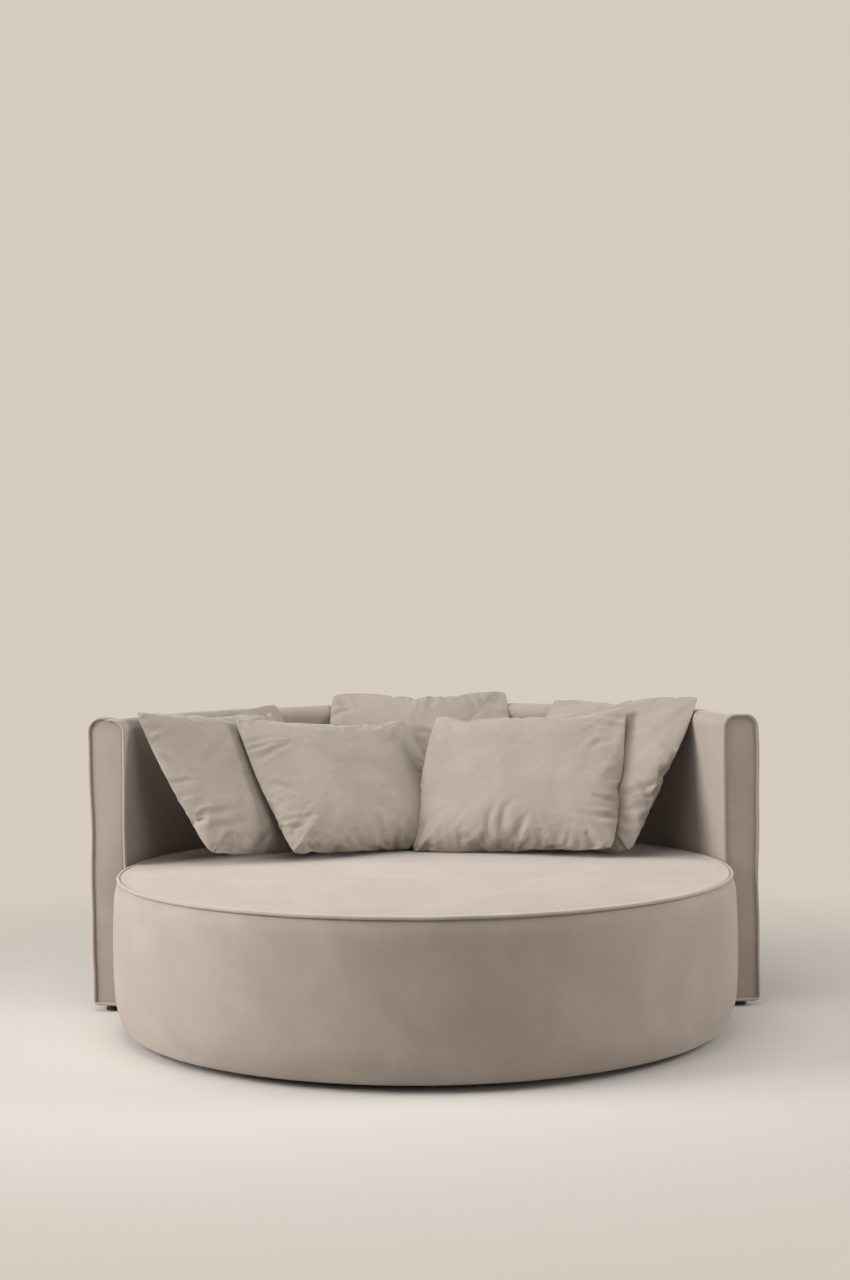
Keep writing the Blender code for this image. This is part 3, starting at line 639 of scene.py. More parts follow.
class MeshMaker:
    """Turns rows of points into the object's pieces."""

    def lattice(self, points: np.ndarray, ring: bool = False) -> tuple[np.ndarray, np.ndarray]:
        """Corners and quads of rows of points.

        Args:
            points: rows by columns by 3.
            ring: whether the last column joins the first.

        Returns:
            The corners, one a row, and each quad's four corners.
        """
        rows, columns, _ = points.shape
        index = np.arange(rows * columns).reshape(rows, columns)
        if ring:
            index = np.hstack([index, index[:, :1]])
        quads = np.stack([index[:-1, :-1], index[1:, :-1], index[1:, 1:], index[:-1, 1:]], axis=-1)
        return points.reshape(-1, 3), quads.reshape(-1, 4)

    def joined(self, *parts: tuple[np.ndarray, np.ndarray]) -> tuple[np.ndarray, np.ndarray]:
        """Several lattices as one list of corners and quads.

        Args:
            parts: the corners and quads of each.

        Returns:
            All corners and all quads.
        """
        corners, quads, count = [], [], 0
        for points, faces in parts:
            corners.append(points)
            quads.append(faces + count)
            count += len(points)
        return np.vstack(corners), np.vstack(quads)

    def mesh(self, name: str, points: np.ndarray, faces: np.ndarray) -> bpy.types.Mesh:
        """A smooth mesh with its doubles merged and its faces turned outwards.

        Args:
            name: its name.
            points: its corners, one a row.
            faces: the corners of each quad.

        Returns:
            The mesh.
        """
        mesh = bpy.data.meshes.new(name)
        mesh.from_pydata(points.tolist(), [], faces.tolist())
        work = bmesh.new()
        work.from_mesh(mesh)
        bmesh.ops.remove_doubles(work, verts=work.verts, dist=MERGE)
        bmesh.ops.recalc_face_normals(work, faces=work.faces)
        work.to_mesh(mesh)
        work.free()
        mesh.shade_smooth()
        return mesh

    def piece(self, name: str, mesh: bpy.types.Mesh, finish: Finish) -> bpy.types.Object:
        """An object of the mesh in one finish, linked to the scene.

        Args:
            name: its name.
            mesh: its mesh.
            finish: what it is made of.

        Returns:
            The object.
        """
        mesh.materials.clear()
        mesh.materials.append(finish.material())
        return linked(name, mesh)

    def thickened(self, obj: bpy.types.Object) -> bpy.types.Object:
        """The object, with the covers' cloth laid on its inner side.

        Args:
            obj: the cover, as a sheet.

        Returns:
            The same object.
        """
        wall = obj.modifiers.new("Cloth", "SOLIDIFY")
        wall.thickness = COVER
        wall.offset = -1
        return obj

    def settle(
        self, obj: bpy.types.Object, body: str, nodes: Sequence[str] = ()
    ) -> bpy.types.Object:
        """Says what a finished piece rides on and the solids that it stands for.

        Args:
            obj: the piece.
            body: the body that it rides on.
            nodes: the solids that it stands for.

        Returns:
            The piece.
        """
        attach(obj, body)
        if nodes:
            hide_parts(*nodes)
        LOG.info("%s: %d faces on %s", obj.name, len(obj.data.polygons), body)
        return obj

    def lines(self, name: str, walks: Sequence[np.ndarray], closed: bool) -> bpy.types.Object:
        """An object of edges alone.

        Args:
            name: its name.
            walks: the points of each line, one a row.
            closed: whether each line ends where it starts.

        Returns:
            The object.
        """
        points, edges = [], []
        for walk in walks:
            first = len(points)
            points.extend(walk.tolist())
            edges.extend((first + k, first + k + 1) for k in range(len(walk) - 1))
            if closed:
                edges.append((len(points) - 1, first))
        mesh = bpy.data.meshes.new(name)
        mesh.from_pydata(points, edges, [])
        return linked(name, mesh)

    def baked(self, obj: bpy.types.Object) -> bpy.types.Object:
        """The object with its modifiers taken into its mesh.

        Args:
            obj: the object.

        Returns:
            A plain object of the same name.
        """
        graph = bpy.context.evaluated_depsgraph_get()
        mesh = bpy.data.meshes.new_from_object(obj.evaluated_get(graph))
        obj.modifiers.clear()
        name, collection = obj.name, obj.users_collection[0]
        bpy.data.objects.remove(obj, do_unlink=True)
        plain = bpy.data.objects.new(name, mesh)
        collection.objects.link(plain)
        return plain


MAKER = MeshMaker()


class Tree:
    """A Geometry Nodes tree and the modifier that runs it."""

    def __init__(self, name: str, inputs: dict[str, float | int]) -> None:
        """Opens a tree with a geometry input.

        Args:
            name: the tree's name.
            inputs: the sizes that it takes, with their first values.
        """
        self.tree = bpy.data.node_groups.new(name, "GeometryNodeTree")
        face = self.tree.interface
        face.new_socket("Geometry", in_out="INPUT", socket_type="NodeSocketGeometry")
        self.sockets = {}
        for label, value in inputs.items():
            kind = "NodeSocketInt" if isinstance(value, int) else "NodeSocketFloat"
            socket = face.new_socket(label, in_out="INPUT", socket_type=kind)
            socket.default_value = value
            self.sockets[label] = socket.identifier
        face.new_socket("Geometry", in_out="OUTPUT", socket_type="NodeSocketGeometry")
        self.graph = Graph(self.tree)
        self.given = self.graph.add("NodeGroupInput").outputs
        self.out = self.graph.add("NodeGroupOutput")

    def close(self, shape: bpy.types.NodeSocket, finish: Finish) -> None:
        """Ends the tree: real geometry in one material.

        Args:
            shape: the output that gives the shape.
            finish: its material.
        """
        real = self.graph.add("GeometryNodeRealizeInstances", {0: shape})
        sockets = {"Geometry": real.outputs[0], "Material": finish.material()}
        dressed = self.graph.add("GeometryNodeSetMaterial", sockets)
        self.graph.feed(self.out.inputs[0], dressed.outputs[0])

    def run(self, obj: bpy.types.Object, values: dict[str, float | int]) -> bpy.types.Object:
        """Puts the tree on an object with these sizes and takes the result into its mesh.

        Args:
            obj: the object.
            values: the sizes that differ from the tree's own.

        Returns:
            The plain object that the tree makes.
        """
        modifier = obj.modifiers.new(self.tree.name, "NODES")
        modifier.node_group = self.tree
        for label, value in values.items():
            modifier[self.sockets[label]] = value
        return MAKER.baked(obj)


class CordTree(Tree):
    """Fabric-covered cord along a poly line: it swells and shrinks a little as it goes."""

    swell_scale: float = 55.0
    sides: int = 14

    def __init__(self, finish: Finish) -> None:
        """Builds the tree.

        Args:
            finish: what its pieces are made of.
        """
        sizes = {"Radius": CORD_RADIUS, "Pitch": 0.005, "Unevenness": 0.06, "Seed": 3}
        super().__init__("piped_cord", sizes)
        graph, given = self.graph, self.given
        line = graph.add("GeometryNodeMeshToCurve", {0: given["Geometry"]}).outputs[0]
        sockets = {"Curve": line, "Length": given["Pitch"]}
        walked = graph.add("GeometryNodeResampleCurve", sockets, mode="LENGTH")
        position = graph.add("GeometryNodeInputPosition").outputs[0]
        sockets = {"Vector": position, "W": given["Seed"], "Scale": self.swell_scale}
        swell = graph.add("ShaderNodeTexNoise", sockets, noise_dimensions="4D")
        swing = graph.math("SUBTRACT", swell.outputs[0], 0.5)
        share = graph.math("MULTIPLY", swing, given["Unevenness"])
        radius = graph.math("MULTIPLY", graph.math("ADD", share, 1.0), given["Radius"])
        sized = graph.add(
            "GeometryNodeSetCurveRadius", {"Curve": walked.outputs[0], "Radius": radius}
        )
        sockets = {"Resolution": self.sides, "Radius": 1.0}
        round_cord = graph.add("GeometryNodeCurvePrimitiveCircle", sockets)
        cord = graph.add(
            "GeometryNodeCurveToMesh",
            {"Curve": sized.outputs[0], "Profile Curve": round_cord.outputs[0], "Scale": radius},
        )
        shaded = graph.add("GeometryNodeSetShadeSmooth", {"Geometry": cord.outputs[0]})
        self.close(shaded.outputs[0], finish)


class Piping:
    """The cords sewn into the covers' seams."""

    def __init__(self) -> None:
        """Builds the tree that every cord shares."""
        self.tree = CordTree(LIT_PIPING_VELVET)

    def loop(self, name: str, points: np.ndarray, seed: int) -> bpy.types.Object:
        """A closed cord through points of space.

        Args:
            name: the solid that it stands for, and its own name.
            points: the points, one a row.
            seed: what fixes its uneven places.

        Returns:
            The cord.
        """
        line = MAKER.lines(name, [points], True)
        cord = self.tree.run(line, {"Radius": CORD_RADIUS, "Seed": seed})
        return MAKER.settle(cord, ROOT, [name])


@dataclass
class DrumSeat:
    """The drum's cover: a crowned top panel and a side band, turned under at the foot."""

    centre: Vector
    ring: float
    seam_height: float
    crown: float
    bulge: float
    hem_height: float
    hem_tuck: float = 0.021
    hem_width: float = 0.035
    steps: int = 600
    spacing: float = 0.0065
    top_step_share: float = 0.03
    roll: float = 0.0028
    roll_width: float = 0.016
    pucker_depth: float = 0.0019
    pucker_length: float = 0.075
    drape_depth: float = 0.0012
    foot_depth: float = 0.0008
    foot_reach: float = 0.03
    edge_depth: float = 0.0007
    edge_reach: float = 0.022
    broad_depth: float = 0.0012
    cord_waver: float = 0.0006
    groove: tuple[tuple[float, float], ...] = ((1.5, 0.55), (1.1, -0.1), (0.9, -0.9), (0.1, -1.5))
    groove_start: float = 2.4
    swells: tuple[tuple[float, float], ...] = (
        (0.965, 0.30),
        (0.88, 0.72),
        (0.62, 1.0),
        (0.34, 0.92),
        (0.16, 0.55),
        (0.05, -0.35),
    )
    hem_turn: tuple[float, float] = (0.25, 0.12)

    @classmethod
    def from_solids(cls) -> "DrumSeat":
        """Reads the drum's sizes from its solids.

        Returns:
            The drum seat.
        """
        low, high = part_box("seat_piping")
        cover_low, cover_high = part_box("seat_cover")
        centre = (low + high) / 2
        ring = (high.x - low.x) / 2 / FLAT - CORD_RADIUS
        return cls(
            centre=Vector((centre.x, centre.y, 0)),
            ring=ring,
            seam_height=centre.z,
            crown=cover_high.z - centre.z,
            bulge=(cover_high.x - cover_low.x) / 2 / FLAT - ring,
            hem_height=cover_low.z,
        )

    def top_height(self, radius: float) -> float:
        """Height of the seat's top at this distance from its middle."""
        share = min(radius / self.ring, 1.0)
        return self.seam_height + self.crown * (1 - share * share)

    def outline(self) -> np.ndarray:
        """(radius, height) points from the middle of the top down to the hem's inner edge.

        Returns:
            The points, one a row.
        """
        ring, seam = self.ring, self.seam_height
        top = [
            (ring * share, self.top_height(ring * share))
            for share in np.arange(0, 1 - self.roll_width / ring, self.top_step_share)
        ]
        cord = CORD_RADIUS
        groove = [(ring - self.groove_start * cord, seam + self.roll)]
        groove += [(ring - inward * cord, seam + up * cord) for inward, up in self.groove]
        drop = seam - cord - self.hem_height
        band = [
            (ring + self.bulge * swell, self.hem_height + drop * up) for up, swell in self.swells
        ]
        foot = ring - self.hem_tuck
        turn_out, turn_up = self.hem_turn
        hem = [
            (foot + turn_out * self.hem_tuck, self.hem_height + turn_up * self.hem_tuck),
            (foot, self.hem_height),
            (foot - self.hem_width / 2, self.hem_height),
            (foot - self.hem_width, self.hem_height),
        ]
        upper = smooth_path([*top, groove[0]], self.spacing)
        seam_line = smooth_path(groove, CORD_RADIUS / 3)
        lower = smooth_path([groove[-1], *band, *hem], self.spacing)
        return np.vstack([upper[:-1], seam_line[:-1], lower])

    def relief(self, path: np.ndarray, angle: np.ndarray) -> np.ndarray:
        """How far the cloth stands off the plain outline.

        Args:
            path: the outline's (radius, height) points.
            angle: the angles round the drum.

        Returns:
            The distance along the outline's normals, by point and angle.
        """
        seam, hem = self.seam_height, self.hem_height
        radius, height = path[:, :1], path[:, 1:]
        turn = angle[None, :]
        below = np.clip(seam - height, 0, None)
        on_band = (radius > self.ring - self.hem_tuck) & (height < seam - 1.2 * CORD_RADIUS)
        fine = ripples(turn + 0.35 * below, 11, (80, 200), 14)
        gathers = np.clip(fine, -0.5, 2.0) * np.exp(-below / (0.4 * self.pucker_length))
        gathers *= eased(below, 0.006, 0.016) * (0.6 + 0.4 * ripples(turn, 5, (3, 9)))
        drape = ripples(turn + 0.5 * (height - hem), 23, (7, 26)) * eased(below, 0.02, 0.12)
        foot = ripples(turn - 0.8 * (height - hem), 31, (40, 110))
        foot = foot * np.exp(-(height - hem) / self.foot_reach)
        band = self.pucker_depth * gathers + self.drape_depth * drape + self.foot_depth * foot
        edge = np.clip(self.ring - radius, 0, None)
        inner = ripples(turn, 41, (50, 150), 12) * np.exp(-edge / self.edge_reach)
        inner = inner * eased(edge, 0.004, 0.014)
        broad = ripples(turn, 47, (2, 7)) * eased(radius, 0.1, 0.5) * eased(edge, 0.01, 0.2)
        top = self.edge_depth * inner + self.broad_depth * broad
        return np.where(on_band, band, np.where(height > seam - 0.2 * CORD_RADIUS, top, 0.0))

    def cover(self) -> bpy.types.Object:
        """The cover, as a sheet with the cloth's thickness.

        Returns:
            The cover's object.
        """
        path = self.outline()
        angle = whole_turn(self.steps)
        proud = self.relief(path, angle)
        normal = outward(path)
        radius = path[:, :1] + normal[:, :1] * proud
        height = path[:, 1:] + normal[:, 1:] * proud
        radius[0] = 0.0
        points = around(radius, angle[None, :], height, self.centre)
        mesh = MAKER.mesh("seat_cover", *MAKER.lattice(points, ring=True))
        return MAKER.thickened(MAKER.piece("drum_cover", mesh, VELVET))

    def piping_line(self) -> np.ndarray:
        """Points of the ring that the cord follows.

        Returns:
            The points, one a row.
        """
        angle = whole_turn(self.steps)
        wander = self.cord_waver * ripples(angle, 53, (9, 40))
        return around(self.ring + 0.4 * wander, angle, self.seam_height + wander, self.centre)

    def build(self, piping: Piping) -> None:
        """Makes the cover and its piping.

        Args:
            piping: what makes the cords.
        """
        cover = MAKER.settle(self.cover(), ROOT, ["seat_cover"])
        piping.loop("seat_piping", self.piping_line(), 3)


@dataclass
class CurvedBack:
    """The back's cover: one section swept round the drum, closed by the two flat arm faces."""

    centre: Vector
    inner: float
    outer: float
    top: float
    hem_height: float
    arm_angle: float
    edge: float = 0.036
    foot_edge: float = 0.010
    steps: int = 330
    face_columns: int = 10
    side_rows: int = 92
    shoulder_rows: int = 12
    face_puff: float = 0.0035
    piping_inset: float = 0.002
    wander_reach: float = 0.10
    closest: float = 0.0035
    long_wave: float = 0.0018
    short_wave: float = 0.0010
    left_taper: float = 0.010
    right_taper: float = 0.002
    broad_depth: float = 0.0016
    upright_depth: float = 0.0005
    wrinkle: float = 0.18
    hem: float = 0.014

    @classmethod
    def from_solids(cls) -> "CurvedBack":
        """Reads the back's sizes from its solids.

        Returns:
            The curved back.
        """
        seat = DrumSeat.from_solids()
        low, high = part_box("back_cover")
        points = corners_of(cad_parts["back_cover"].data)
        radii = np.hypot(points[:, 0] - seat.centre.x, points[:, 1] - seat.centre.y)
        outer = float(radii.max())
        return cls(
            centre=seat.centre,
            inner=float(radii.min()),
            outer=outer,
            top=high.z,
            hem_height=low.z,
            arm_angle=float(np.arccos(high.x / outer)),
        )

    def side_heights(self) -> tuple[np.ndarray, np.ndarray]:
        """Heights of the section's rows and how far each is drawn in from the side.

        Returns:
            The heights and the distances, from the foot up.
        """
        foot = self.foot_edge * np.array([0.0, 0.3, 1.0])
        foot_in = self.foot_edge * np.array([1.0, 0.35, 0.0])
        straight = np.linspace(
            self.hem_height + self.foot_edge, self.top - self.edge, self.side_rows
        )
        turn = np.linspace(0, pi / 2, self.shoulder_rows + 1)[1:]
        heights = [self.hem_height + foot[:-1], straight, self.top - self.edge * (1 - np.sin(turn))]
        drawn = [foot_in[:-1], np.zeros(self.side_rows), self.edge * (1 - np.cos(turn))]
        return np.concatenate(heights), np.concatenate(drawn)

    def section(self) -> np.ndarray:
        """(radius, height) points: up the inner side, over the top and down the outside.

        Returns:
            The points, one a row.
        """
        heights, drawn = self.side_heights()
        inside = np.stack([self.inner + drawn, heights], axis=1)
        outside = np.stack([self.outer - drawn, heights], axis=1)[::-1]
        across = np.linspace(inside[-1, 0], outside[0, 0], self.face_columns)[1:-1]
        over = np.stack([across, np.full(len(across), self.top)], axis=1)
        return np.vstack([inside, over, outside])

    def arm_wander(self, path: np.ndarray, side: int) -> np.ndarray:
        """How far the arm's edges stray from a plain section, along its normals.

        Args:
            path: the section's (radius, height) points.
            side: 1 at the right arm and -1 at the left.

        Returns:
            The distance of each point.
        """
        height = path[:, 1]
        inside = path[:, 0] < (self.inner + self.outer) / 2
        share = (height - self.hem_height) / (self.top - self.hem_height)
        wave = self.long_wave * np.sin(9.0 * share + side)
        wave = wave + self.short_wave * np.sin(21.0 * share + 2 * side)
        taper = (self.left_taper if side < 0 else self.right_taper) * (share - 0.5)
        return np.maximum(np.where(inside, 0.5 * wave, wave + taper), -self.closest)

    def relief(self, path: np.ndarray, angle: np.ndarray) -> np.ndarray:
        """How far the cloth stands off the plain section.

        Args:
            path: the section's (radius, height) points.
            angle: the angles round the drum.

        Returns:
            The distance along the section's normals, by point and angle.
        """
        turn = angle[None, :]
        height = path[:, 1:]
        share = (height - self.hem_height) / (self.top - self.hem_height)
        mid = (self.inner + self.outer) / 2
        broad = self.broad_depth * ripples(turn + 0.2 * share, 61, (5, 17))
        broad = broad * np.sin(pi * np.clip(share, 0, 1))
        upright = self.upright_depth * ripples(turn + 0.05 * share, 67, (30, 90))
        upright = upright * eased(share, 0.5, 1.0)
        reach = self.wander_reach / mid
        near_right = 1 - eased(turn, self.arm_angle, self.arm_angle + reach)
        near_left = 1 - eased(pi - turn, self.arm_angle, self.arm_angle + reach)
        right = self.arm_wander(path, 1)[:, None] * near_right
        left = self.arm_wander(path, -1)[:, None] * near_left
        free = 1 - near_right - near_left
        return (broad + upright) * free + right + left

    def spot(self, radius: np.ndarray, angle: np.ndarray, height: np.ndarray) -> np.ndarray:
        """Points of space from radius, angle and height round the drum's axis."""
        return around(radius, angle, height, self.centre)

    def swept(self) -> tuple[np.ndarray, np.ndarray, np.ndarray]:
        """Radius and height of every point of the arc, and its angles.

        Returns:
            The radii and heights, by point and angle, and the angles.
        """
        path = self.section()
        angle = np.linspace(self.arm_angle, pi - self.arm_angle, self.steps)
        proud = self.relief(path, angle)
        normal = outward(path)
        return path[:, :1] + normal[:, :1] * proud, path[:, 1:] + normal[:, 1:] * proud, angle

    def arm_face(
        self, radius: np.ndarray, height: np.ndarray, angle: float, side: int
    ) -> np.ndarray:
        """The flat end of one arm, slightly puffed, as rows from its foot to its top.

        Args:
            radius: of the section's points at that end.
            height: of the same points.
            angle: of the end round the drum.
            side: 1 at the right arm and -1 at the left.

        Returns:
            The points, rows by columns by 3.
        """
        rows = len(self.side_heights()[0])
        inside = np.stack([radius[:rows], height[:rows]], axis=1)
        outside = np.stack([radius[-rows:], height[-rows:]], axis=1)[::-1]
        share = np.linspace(0, 1, self.face_columns)[None, :, None]
        face = inside[:, None, :] * (1 - share) + outside[:, None, :] * share
        face[-1] = np.stack([radius, height], axis=1)[rows - 1 : rows - 1 + self.face_columns]
        across = np.sin(pi * share[..., 0]) ** 0.6
        up = (face[..., 1] - self.hem_height) / (self.top - self.hem_height)
        along = np.clip(np.sin(pi * np.clip(up, 0, 1)), 0, 1) ** 0.35
        wrinkle = 1 + self.wrinkle * np.sin(13 * up + 3 * share[..., 0])
        puff = self.face_puff * across * along * wrinkle
        points = self.spot(face[..., 0], angle, face[..., 1])
        forward = Vector((sin(angle), -cos(angle), 0)) * side
        return points + puff[..., None] * np.array(forward)

    def cover(self) -> bpy.types.Object:
        """The cover, as a sheet with the cloth's thickness, open under the frame.

        Returns:
            The cover's object.
        """
        radius, height, angle = self.swept()
        arc = self.spot(radius, angle[None, :], height)
        right = self.arm_face(radius[:, 0], height[:, 0], self.arm_angle, 1)
        left = self.arm_face(radius[:, -1], height[:, -1], pi - self.arm_angle, -1)
        across = np.linspace(0, 1, self.face_columns)[:, None, None]
        bottom = arc[0][None] * (1 - across) + arc[-1][None] * across
        corners, quads = MAKER.lattice(bottom)
        middle = corners[quads].mean(axis=1) - np.array(self.centre)
        distance = np.hypot(middle[:, 0], middle[:, 1])
        hem = self.hem + self.foot_edge
        turn = np.arctan2(middle[:, 1], middle[:, 0])
        within = (distance > self.inner + hem) & (distance < self.outer - hem)
        margin = hem / self.outer
        within &= (turn > self.arm_angle + margin) & (turn < pi - self.arm_angle - margin)
        parts = [MAKER.lattice(part) for part in (arc, right, left)]
        mesh = MAKER.mesh("back_cover", *MAKER.joined(*parts, (corners, quads[~within])))
        return MAKER.thickened(MAKER.piece("back_cover_cloth", mesh, VELVET))

    def piping_line(self, side: int) -> np.ndarray:
        """Points of the loop round one arm's face.

        Args:
            side: 1 at the right arm and -1 at the left.

        Returns:
            The points, one a row.
        """
        radius, height, angle = self.swept()
        end = 0 if side > 0 else -1
        path = np.stack([radius[:, end], height[:, end]], axis=1)
        inset = path - outward(path) * self.piping_inset
        bottom = np.linspace(inset[-1], inset[0], 12)[1:-1]
        loop = np.vstack([inset, bottom])
        proud = 0.6 * CORD_RADIUS
        points = self.spot(loop[:, 0], angle[end], loop[:, 1])
        forward = Vector((sin(angle[end]), -cos(angle[end]), 0)) * side
        return points + proud * np.array(forward)

    def build(self, piping: Piping) -> None:
        """Makes the cover and the two piped loops.

        Args:
            piping: what makes the cords.
        """
        cover = MAKER.settle(self.cover(), ROOT, ["back_cover"])
        piping.loop("arm_piping_right", self.piping_line(1), 5)
        piping.loop("arm_piping_left", self.piping_line(-1), 7)


@dataclass(frozen=True)
class Panels:
    """Two square panels sewn together at their edges, as a net of quads.

    Args:
        shares: across and up each point, from -1 to 1.
        side: 1 on the front panel, -1 on the rear one and 0 on the seam.
        twin: the number of the point opposite each, on the other panel.
        quads: the faces.
    """

    shares: np.ndarray
    side: np.ndarray
    twin: np.ndarray
    quads: np.ndarray

    @classmethod
    def of(cls, cells: int) -> "Panels":
        """The panels with so many cells along each side.

        Args:
            cells: the quads along one side.

        Returns:
            The panels.
        """
        steps = np.linspace(-1, 1, cells + 1)
        u, v = np.meshgrid(steps, steps)
        count = (cells + 1) ** 2
        front = np.arange(count).reshape(cells + 1, cells + 1)
        rear = front.copy()
        inner = (cells - 1) ** 2
        rear[1:-1, 1:-1] = count + np.arange(inner).reshape(cells - 1, cells - 1)
        inside = (np.abs(u) < 1) & (np.abs(v) < 1)
        shares = np.stack([u, v], axis=-1)
        all_shares = np.vstack([shares.reshape(-1, 2), shares[inside]])
        side = np.concatenate([inside.reshape(-1).astype(float), -np.ones(inner)])
        twin = np.arange(count + inner)
        twin[front[inside]] = rear[inside]
        twin[rear[inside]] = front[inside]
        quads = []
        for net, order in ((front, (0, 1, 2, 3)), (rear, (3, 2, 1, 0))):
            around = (net[:-1, :-1], net[:-1, 1:], net[1:, 1:], net[1:, :-1])
            quads.append(np.stack([around[k] for k in order], axis=-1).reshape(-1, 4))
        return cls(all_shares, side, twin, np.vstack(quads))

    def rim(self) -> np.ndarray:
        """How far each point is from the seam: 0 on it and 1 in the middle."""
        u, v = self.shares.T
        return np.clip((1 - u**2) * (1 - v**2), 0, 1)

    def bowed(self, flat: np.ndarray, share: float) -> np.ndarray:
        """The flat panels with their four sides bowed outwards, or inwards for a share below 0.

        Args:
            flat: the points of the flat panels.
            share: how far, as a share of half the width.

        Returns:
            The points after that.
        """
        u, v = self.shares.T
        points = flat.copy()
        middle = flat.mean(axis=0)
        points[:, 0] += (flat[:, 0] - middle[0]) * share * (1 - v**2) * np.abs(u)
        points[:, 1] += (flat[:, 1] - middle[1]) * share * (1 - u**2) * np.abs(v)
        return points

    def blurred(self, values: np.ndarray, rounds: int) -> np.ndarray:
        """Values at the points, evened out with those of their neighbours.

        Args:
            values: rows of values, one row a point.
            rounds: how often each is mixed half and half with its neighbours' mean.

        Returns:
            The values after that.
        """
        edges = np.vstack([self.quads[:, [k, (k + 1) % 4]] for k in range(4)])
        starts = np.concatenate([edges[:, 0], edges[:, 1]])
        ends = np.concatenate([edges[:, 1], edges[:, 0]])
        count = np.bincount(starts, minlength=len(values)).astype(float)
        for _ in range(rounds):
            total = np.zeros_like(values)
            np.add.at(total, starts, values[ends])
            values = 0.5 * values + 0.5 * total / count[:, None]
        return values


class Room:
    """The surfaces that a cushion may touch but not sink into."""

    reach: float = 0.06
    clearance: float = 0.0013
    most_walls: int = 12
    past_wall: float = 1e-5
    upwards: Vector = Vector((0.013, 0.007, 1.0)).normalized()

    def __init__(self) -> None:
        """Starts empty."""
        self.walls: list[tuple[BVHTree, Body]] = []

    def add(self, obj: bpy.types.Object, body: Body) -> None:
        """Adds an object's faces.

        Args:
            obj: the object.
            body: what kind of surface it has.
        """
        points = [vert.co for vert in obj.data.vertices]
        tree = BVHTree.FromPolygons(points, [tuple(face.vertices) for face in obj.data.polygons])
        self.walls.append((tree, body))

    def inside(self, tree: BVHTree, point: Vector) -> bool:
        """Whether a point lies in a closed body, by the walls above it.

        Args:
            tree: the body's faces.
            point: the point.

        Returns:
            Whether it does.
        """
        crossings = 0
        start = point.copy()
        while crossings < self.most_walls:
            spot, _, _, _ = tree.ray_cast(start, self.upwards)
            if spot is None:
                break
            crossings += 1
            start = spot + self.upwards * self.past_wall
        return crossings % 2 == 1

    def push(self, point: Vector) -> Vector:
        """The shift that brings a point clear of every wall.

        Args:
            point: the point.

        Returns:
            The shift, nothing where the point is clear.
        """
        shift = Vector((0, 0, 0))
        for tree, body in self.walls:
            at = point + shift
            spot, normal, _, distance = tree.find_nearest(at, self.reach)
            if spot is None:
                continue
            away = at - spot
            sunk = away.dot(normal) < 0 and (body is Body.OPEN or self.inside(tree, at))
            if sunk:
                shift += spot + normal * self.clearance - at
            elif distance < self.clearance:
                shift += normal * (self.clearance - distance)
        return shift

    def pushes(self, points: np.ndarray) -> np.ndarray:
        """The shift of every point."""
        return np.array([self.push(Vector(point)) for point in points])


@dataclass(frozen=True)
class Crease:
    """A fold pressed into a cushion's front.

    Args:
        start: across and up the cushion where it starts, from -1 to 1.
        end: the same where it ends.
        depth: how deep it is.
        width: half its width, in the same shares.
        bend: how far it bows, as a share of its length.
    """

    start: tuple[float, float]
    end: tuple[float, float]
    depth: float = 0.0060
    width: float = 0.038
    bend: float = 0.06
    fading: float = 0.7
    lip_height: float = 0.45
    lip_offset: float = 1.7

    def press(self, shares: np.ndarray) -> np.ndarray:
        """How far each point sinks, with the cloth heaped up a little beside the fold.

        Args:
            shares: across and up each point, from -1 to 1.

        Returns:
            The depth at each point, below 0 where the cloth is heaped up.
        """
        start, end = np.array(self.start), np.array(self.end)
        along = end - start
        length = float(np.linalg.norm(along))
        axis = along / length
        offset = shares - start
        walked = offset @ axis
        arch = np.sin(pi * np.clip(walked / length, 0, 1))
        across = offset @ np.array([-axis[1], axis[0]]) - self.bend * length * arch
        within = np.clip(arch, 0, 1) ** self.fading
        near = across / self.width
        beside = [np.exp(-((near - way * self.lip_offset) ** 2)) for way in (1, -1)]
        lips = self.lip_height * (beside[0] + beside[1])
        return self.depth * within * (np.exp(-(near**2)) - lips)


@dataclass(frozen=True)
class Stuff:
    """How the cushions' cloth behaves while it is blown up."""

    quality: int = 5
    mass: float = 0.1
    stretch: float = 15
    shear: float = 5
    bending: float = 0.02
    pressure: float = 3.0
    sag: float = 0.4
    frames: int = 19

    def hang(self, obj: bpy.types.Object, held: str, slack: float) -> None:
        """Puts the cloth on an object.

        Args:
            obj: the flat panels.
            held: the group of points that stay where they are.
            slack: how much longer than flat the cloth is cut.
        """
        cloth = obj.modifiers.new("Cloth", "CLOTH")
        settings = cloth.settings
        settings.quality = self.quality
        settings.mass = self.mass
        settings.tension_stiffness = settings.compression_stiffness = self.stretch
        settings.shear_stiffness = self.shear
        settings.bending_stiffness = self.bending
        settings.shrink_min = -slack
        settings.use_pressure = True
        settings.uniform_pressure_force = self.pressure
        settings.vertex_group_mass = held
        cloth.collision_settings.use_collision = False


